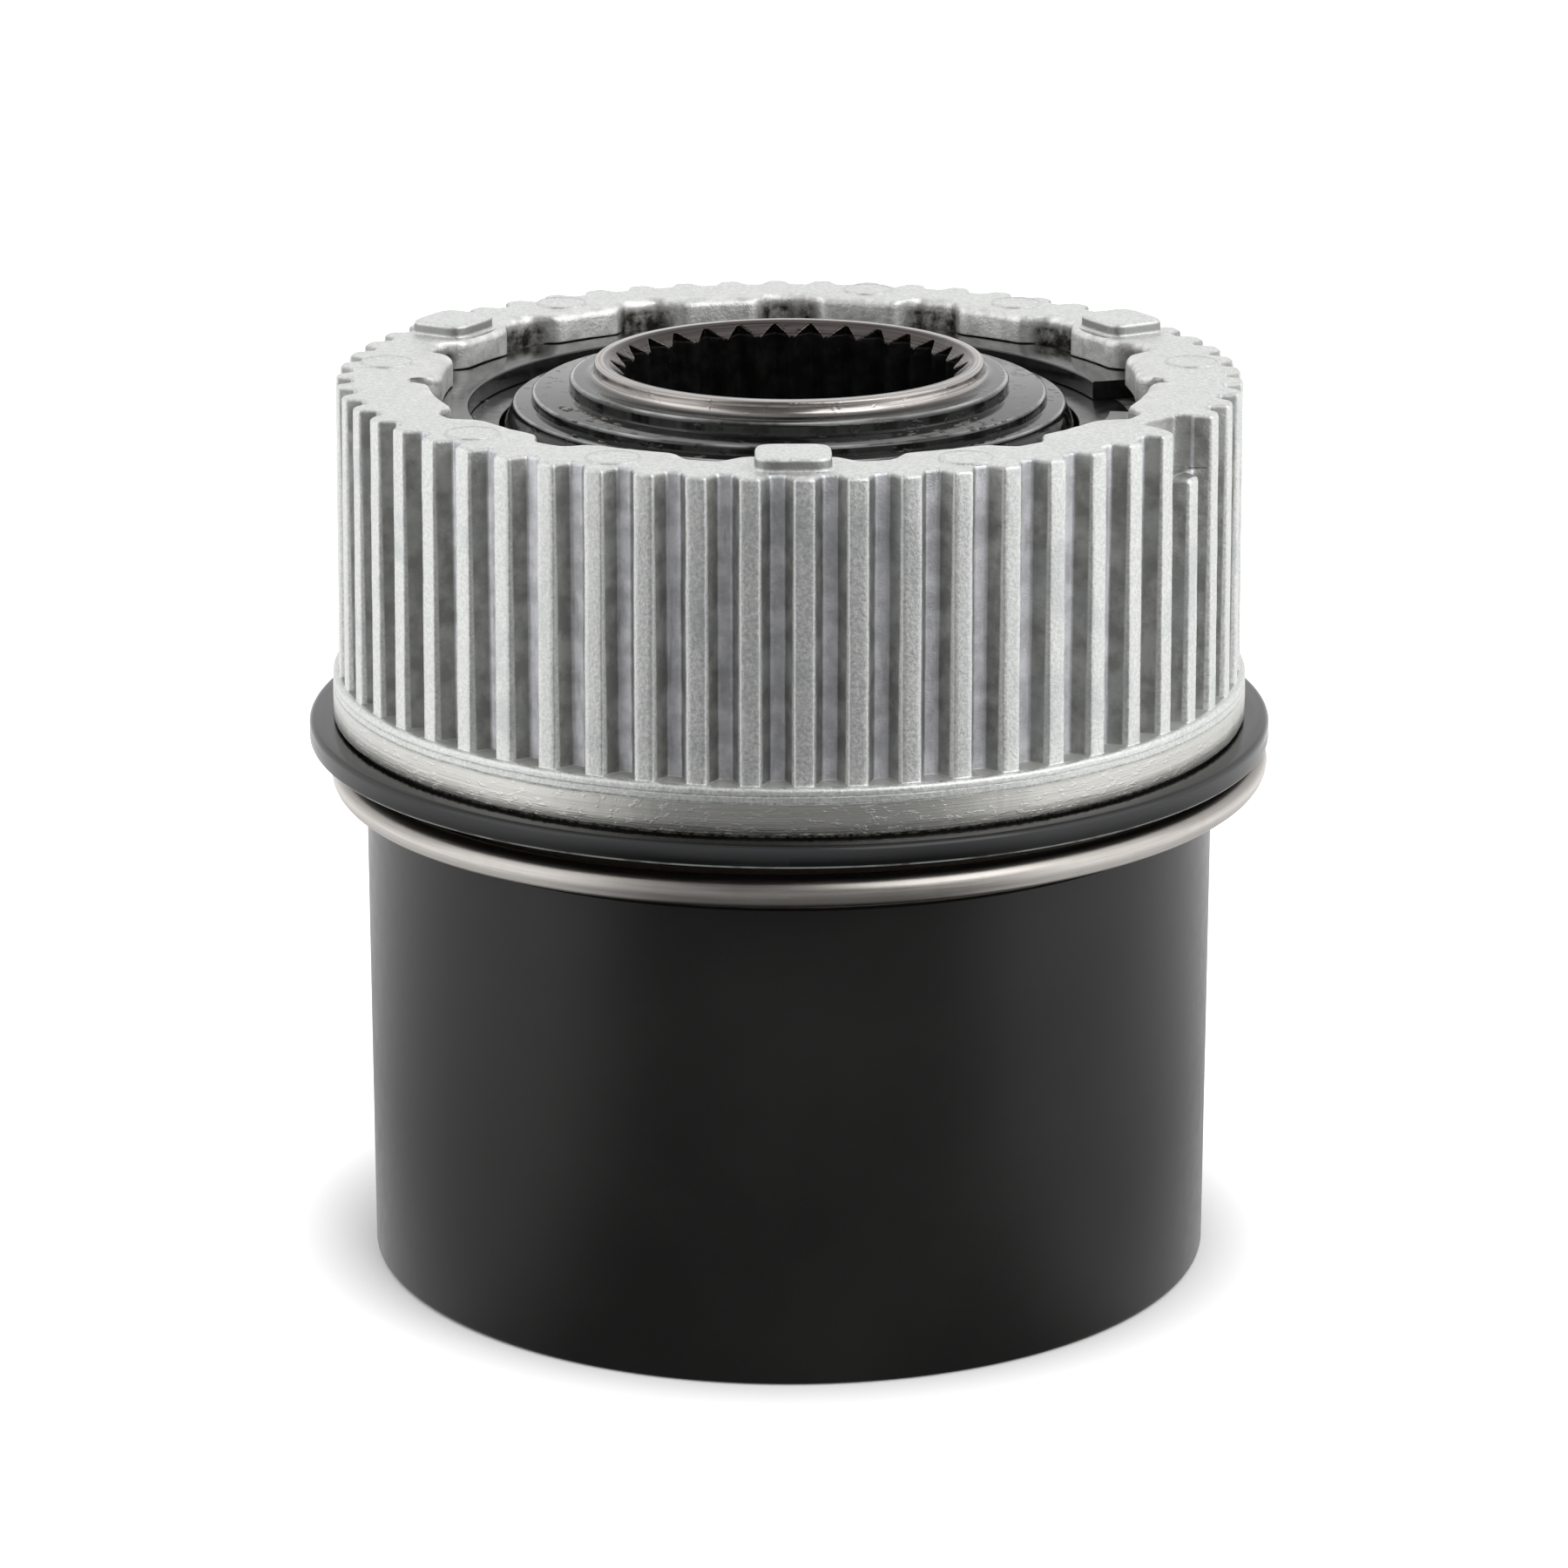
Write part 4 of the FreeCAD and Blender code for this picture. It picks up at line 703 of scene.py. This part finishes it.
def bore_radius(angles):
    """Radius of the drive gear's inner splines."""
    across = np.abs(wrapped(angles, math.radians(4.8), math.radians(12))) * 16
    return 16.68 - 1.33 * ramp((across - 0.08) / 1.32, 0.03)


def sleeve_radius(angles):
    """Radius of the splines outside the drive gear's sleeve."""
    across = np.abs(wrapped(angles, 0, math.radians(15))) * 21.5
    return 22.3 - 1.7 * ramp((across - 1.3) / 0.12, 0.2)


def make_drive_gear():
    shares = [-0.5, -0.44, -0.38, -0.355, -0.33, -0.30, -0.26, -0.22, -0.18, -0.14, -0.11, -0.085, -0.05]
    shares = shares + [-share for share in reversed(shares[1:])]
    pitch = math.radians(12)
    a = np.array([math.radians(4.8) + pitch * (k + share) for k in range(30) for share in shares])
    bore = bore_radius(a)
    sleeve = sleeve_radius(a)
    rows = [(bore, SLEEVE_BOTTOM), (sleeve, SLEEVE_BOTTOM), (sleeve, 69.6), (22.35, 69.65), (21.5, 69.65)]
    rows += [(21.5, BEARING_BOTTOM), (23.2, BEARING_BOTTOM), (23.2, BEARING_TOP), (26.5, BEARING_TOP)]
    rows += [(26.5, 80.2), (26.42, 80.4), (25.85, 81.65), (25.7, 81.85)]
    rows += corner(25.45, 82.05, 0.25, 0, 90, 3)
    rows += [(24.2, 82.3)]
    rows += [(23.96, 82.36), (23.9, 82.6)]
    rows += corner(23.62, 82.97, 0.28, 0, 90, 3)
    rows += [(20.75, 83.25), (20.47, 83.33), (20.4, 83.6)]
    rows += corner(20.02, 84.22, 0.38, 0, 90, 4)
    rows += [(19.2, 84.6)]
    rows += [(18.7, 84.66), (18.35, 84.85), (18.14, 85.15), (18.06, 85.6)]
    rows += corner(17.78, 85.77, 0.28, 0, 90, 4)
    rows += [(17.3, 86.05), (16.95, 86.05)]
    for k in range(1, 25):
        share = k / 24
        rows.append((np.maximum(bore, 16.88 - share * 1.53), 86.02 - share * 1.15))
    rows.append((bore, 84.6))
    return loft("drive_gear_shell", a, rows, "drive_gear", MATERIALS["drive_gear_steel"],
                replaces="drive_gear")


def make_spring():
    """The return spring. It stands on the piston and rides with it."""
    low = SPRING_LOW + 0.02
    high = SPRING_HIGH - 0.02
    around = 16
    steps = 260
    vertices = []
    for step in range(steps + 1):
        turn = 2 * math.pi * SPRING_TURNS * step / steps
        middle = SPRING_LOW + (SPRING_HIGH - SPRING_LOW) * step / steps
        for k in range(around):
            a = 2 * math.pi * k / around
            r = SPRING_RADIUS + SPRING_WIRE * math.cos(a)
            z = min(max(middle + SPRING_WIRE * math.sin(a), low), high)
            vertices.append((r * math.cos(turn) * MM, r * math.sin(turn) * MM, z * MM))
    faces = []
    for step in range(steps):
        for k in range(around):
            n = (k + 1) % around
            base = step * around
            faces.append((base + k, base + n, base + around + n, base + around + k))
    faces.append(tuple(reversed(range(around))))
    faces.append(tuple(steps * around + k for k in range(around)))
    spring = new_object("return_spring_coil", vertices, faces, "piston", MATERIALS["spring_steel"],
                        replaces="return_spring")
    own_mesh(spring)
    return spring


def grease_material():
    m = Material("grease")
    tone = m.mix(m.spread(m.noise(1.5), 0.4, 0.6), (0.02, 0.017, 0.012), (0.07, 0.06, 0.045))
    return m.finish(tone, 0.0, m.spread(m.noise(2.5), 0.3, 0.7, 0.05, 0.14), Specular_IOR_Level=0.7)


def make_grease(name, body, material, seed, centre, spread, heights, count, size):
    """A cluster of small beads of grease. centre and spread are (angle, radius) in degrees and millimetres."""
    rng = random.Random(seed)
    vertices = []
    faces = []
    rings = 5
    around = 10
    for _ in range(count):
        turn = math.radians(centre[0] + rng.uniform(-1, 1) * spread[0])
        out = centre[1] + rng.uniform(-1, 1) * spread[1]
        base = heights(out)
        width = size * rng.uniform(0.25, 1.0) ** 1.6 * 1.8
        length = width * rng.uniform(1.0, 2.4)
        height = width * rng.uniform(0.35, 0.7)
        start = len(vertices)
        for ring in range(rings):
            lift = math.sin(math.pi / 2 * ring / rings)
            reach = math.cos(math.pi / 2 * ring / rings)
            for k in range(around):
                a = 2 * math.pi * k / around
                side = length * reach * math.cos(a)
                away = width * reach * math.sin(a)
                angle = turn + side / out
                r = out + away
                vertices.append((r * math.sin(angle) * MM, -r * math.cos(angle) * MM, (base - 0.03 + height * lift) * MM))
        for ring in range(rings - 1):
            for k in range(around):
                n = (k + 1) % around
                low = start + ring * around
                faces.append((low + k, low + n, low + around + n, low + around + k))
        top = start + (rings - 1) * around
        faces.append(tuple(top + k for k in range(around)))
        faces.append(tuple(start + k for k in reversed(range(around))))
    return new_object(name, vertices, faces, body, material)


def gear_step_height(radius):
    """Height of the drive gear's steps at a radius."""
    for limit, height in ((20.4, 84.6), (23.9, 83.25), (25.7, 82.3), (26.5, 80.2)):
        if radius < limit:
            return height
    return PLATE_TOP


def make_greases():
    grease = grease_material()
    make_grease("grease_left", "drive_gear", grease, 3, (-58, 21.6), (12, 1.1), gear_step_height, 30, 0.2)
    make_grease("grease_left_low", "drive_gear", grease, 4, (-36, 24.2), (20, 1.2), gear_step_height, 24, 0.16)
    make_grease("grease_right", "drive_gear", grease, 5, (42, 22.3), (14, 1.5), gear_step_height, 60, 0.17)
    make_grease("grease_ring_end", "hub", grease, 6, (84, 31.5), (7, 1.2), lambda radius: PLATE_TOP, 40, 0.18)
    make_grease("grease_plate", "hub", grease, 7, (-70, 29.3), (40, 0.5), lambda radius: PLATE_TOP, 40, 0.14)


def make_stage():
    """A white floor. For the camera it glows, more weakly near the object, which paints shade round the base on top of
    the object's soft shadow. For gloss it is a glowing sheet, dim on the camera's side and darker near the object: a
    painted reflection with painted shade.
    """
    mesh = bpy.data.meshes.new("floor")
    size = 6.0
    mesh.from_pydata([(-size, -size, 0), (size, -size, 0), (size, size, 0), (-size, size, 0)], [], [(0, 1, 2, 3)])
    floor = bpy.data.objects.new("floor", mesh)
    bpy.context.scene.collection.objects.link(floor)
    floor.location.z = -0.00002
    material = bpy.data.materials.new("floor_white")
    material.use_nodes = True
    nodes = material.node_tree.nodes
    links = material.node_tree.links
    shader = nodes["Principled BSDF"]
    shader.inputs["Base Color"].default_value = (0.85, 0.85, 0.85, 1)
    shader.inputs["Roughness"].default_value = 0.9
    shader.inputs["Specular IOR Level"].default_value = 0.0
    glow = nodes.new("ShaderNodeEmission")
    path = nodes.new("ShaderNodeLightPath")
    add = nodes.new("ShaderNodeAddShader")
    links.new(shader.outputs[0], add.inputs[0])
    links.new(glow.outputs[0], add.inputs[1])
    gloss_view = nodes.new("ShaderNodeEmission")
    place = nodes.new("ShaderNodeTexCoord")
    split = nodes.new("ShaderNodeSeparateXYZ")
    links.new(place.outputs["Object"], split.inputs[0])
    turn = nodes.new("ShaderNodeMath")
    turn.operation = "ARCTAN2"
    flip = nodes.new("ShaderNodeMath")
    flip.operation = "MULTIPLY"
    flip.inputs[1].default_value = -1
    links.new(split.outputs[1], flip.inputs[0])
    links.new(split.outputs[0], turn.inputs[0])
    links.new(flip.outputs[0], turn.inputs[1])
    front_tone(nodes, links, turn.outputs[0], gloss_view.inputs["Color"])
    reach = nodes.new("ShaderNodeVectorMath")
    reach.operation = "LENGTH"
    links.new(place.outputs["Object"], reach.inputs[0])
    # Painted shade in reflections: the floor seen by gloss is darker near the object.
    gloss_near_shade = nodes.new("ShaderNodeMapRange")
    gloss_near_shade.inputs["From Min"].default_value = 0.07
    gloss_near_shade.inputs["From Max"].default_value = 0.2
    gloss_near_shade.inputs["To Min"].default_value = 0.66
    gloss_near_shade.inputs["To Max"].default_value = 1.2
    links.new(reach.outputs["Value"], gloss_near_shade.inputs["Value"])
    # Painted shade: the floor's glow for the camera is weaker near the object's base.
    lift = nodes.new("ShaderNodeMapRange")
    lift.inputs["From Min"].default_value = 0.0395
    lift.inputs["From Max"].default_value = 0.053
    lift.inputs["To Min"].default_value = 0.10
    lift.inputs["To Max"].default_value = 0.75
    links.new(reach.outputs["Value"], lift.inputs["Value"])
    seen = nodes.new("ShaderNodeMath")
    seen.operation = "MULTIPLY"
    links.new(lift.outputs[0], seen.inputs[0])
    links.new(path.outputs["Is Camera Ray"], seen.inputs[1])
    links.new(seen.outputs[0], glow.inputs["Strength"])
    links.new(gloss_near_shade.outputs[0], gloss_view.inputs["Strength"])
    choose = nodes.new("ShaderNodeMixShader")
    links.new(path.outputs["Is Glossy Ray"], choose.inputs[0])
    links.new(add.outputs[0], choose.inputs[1])
    links.new(gloss_view.outputs[0], choose.inputs[2])
    clear = nodes.new("ShaderNodeBsdfTransparent")
    face = nodes.new("ShaderNodeNewGeometry")
    under = nodes.new("ShaderNodeMixShader")
    links.new(face.outputs["Backfacing"], under.inputs[0])
    links.new(choose.outputs[0], under.inputs[1])
    links.new(clear.outputs[0], under.inputs[2])
    links.new(under.outputs[0], nodes["Material Output"].inputs["Surface"])
    mesh.materials.append(material)


FRONT_TONE = 0.21
FRONT_CENTRE = math.radians(1)
FRONT_INNER = math.radians(28)
FRONT_OUTER = math.radians(62)


def front_tone(nodes, links, angle, target):
    """The studio is dim on the camera's side and white round the rest. angle is counted from the front."""
    offset = nodes.new("ShaderNodeMath")
    offset.operation = "SUBTRACT"
    links.new(angle, offset.inputs[0])
    offset.inputs[1].default_value = FRONT_CENTRE
    size = nodes.new("ShaderNodeMath")
    size.operation = "ABSOLUTE"
    links.new(offset.outputs[0], size.inputs[0])
    spread = nodes.new("ShaderNodeMapRange")
    spread.interpolation_type = "SMOOTHSTEP"
    links.new(size.outputs[0], spread.inputs["Value"])
    spread.inputs["From Min"].default_value = FRONT_INNER
    spread.inputs["From Max"].default_value = FRONT_OUTER
    spread.inputs["To Min"].default_value = FRONT_TONE
    spread.inputs["To Max"].default_value = 1.0
    links.new(spread.outputs[0], target)
    return spread


def make_world():
    """White studio light, dim on the camera's side for gloss, plain for diffuse light."""
    world = bpy.data.worlds.new("studio")
    bpy.context.scene.world = world
    world.use_nodes = True
    nodes = world.node_tree.nodes
    links = world.node_tree.links
    plain = nodes["Background"]
    plain.inputs["Color"].default_value = (1, 1, 1, 1)
    path = nodes.new("ShaderNodeLightPath")
    plain.inputs["Strength"].default_value = 0.8
    white = nodes.new("ShaderNodeBackground")
    white.inputs["Color"].default_value = (1, 1, 1, 1)
    white.inputs["Strength"].default_value = 1.0
    gloss = nodes.new("ShaderNodeBackground")
    place = nodes.new("ShaderNodeTexCoord")
    split = nodes.new("ShaderNodeSeparateXYZ")
    links.new(place.outputs["Generated"], split.inputs[0])
    flip = nodes.new("ShaderNodeMath")
    flip.operation = "MULTIPLY"
    flip.inputs[1].default_value = -1
    links.new(split.outputs[1], flip.inputs[0])
    turn = nodes.new("ShaderNodeMath")
    turn.operation = "ARCTAN2"
    links.new(split.outputs[0], turn.inputs[0])
    links.new(flip.outputs[0], turn.inputs[1])
    front_tone(nodes, links, turn.outputs[0], gloss.inputs["Color"])
    first = nodes.new("ShaderNodeMixShader")
    links.new(path.outputs["Is Camera Ray"], first.inputs[0])
    links.new(plain.outputs[0], first.inputs[1])
    links.new(white.outputs[0], first.inputs[2])
    second = nodes.new("ShaderNodeMixShader")
    links.new(path.outputs["Is Glossy Ray"], second.inputs[0])
    links.new(first.outputs[0], second.inputs[1])
    links.new(gloss.outputs[0], second.inputs[2])
    links.new(second.outputs[0], nodes["World Output"].inputs["Surface"])


def add_lamp(name, place, target, size, power):
    lamp = bpy.data.lights.new(name, "AREA")
    lamp.shape = "RECTANGLE"
    lamp.size, lamp.size_y = size
    lamp.energy = power
    holder = bpy.data.objects.new(name, lamp)
    bpy.context.scene.collection.objects.link(holder)
    holder.location = place
    holder.rotation_euler = (Vector(target) - Vector(place)).to_track_quat("-Z", "Y").to_euler()


def make_lights():
    middle = (0, 0, 0.045)
    add_lamp("left_softbox", (-0.75, -0.25, 0.45), middle, (0.6, 0.8), 0.9)
    add_lamp("right_softbox", (0.75, -0.15, 0.45), middle, (0.6, 0.8), 0.9)
    add_lamp("front_softbox", (0.5, -0.65, 0.7), middle, (0.7, 0.7), 3.8)


CAMERA_DISTANCE = 0.52196
CAMERA_HEIGHT = 0.20124
CAMERA_SIDE = -0.00048
CAMERA_PITCH = 16.6785
CAMERA_LENS = 132.0


def make_camera():
    """A camera at the photograph's place: low, a little above the hub and tilted down."""
    camera = bpy.data.cameras.new("camera")
    camera.lens = CAMERA_LENS
    camera.sensor_width = 36.0
    camera.clip_start = 0.01
    camera.clip_end = 50.0
    holder = bpy.data.objects.new("camera", camera)
    bpy.context.scene.collection.objects.link(holder)
    holder.location = (CAMERA_SIDE, -CAMERA_DISTANCE, CAMERA_HEIGHT)
    holder.rotation_euler = (math.radians(90 - CAMERA_PITCH), 0, 0)
    bpy.context.scene.camera = holder


dress_cad_nodes()
make_hub_body()
make_face_tabs()
make_ejector_marks()
make_cap()
make_seal()
make_wire_ring()
make_snap_ring()
make_plate()
make_drive_gear()
make_greases()
make_spring()
make_stage()
make_world()
make_lights()
make_camera()
bpy.context.scene.view_settings.view_transform = "Standard"
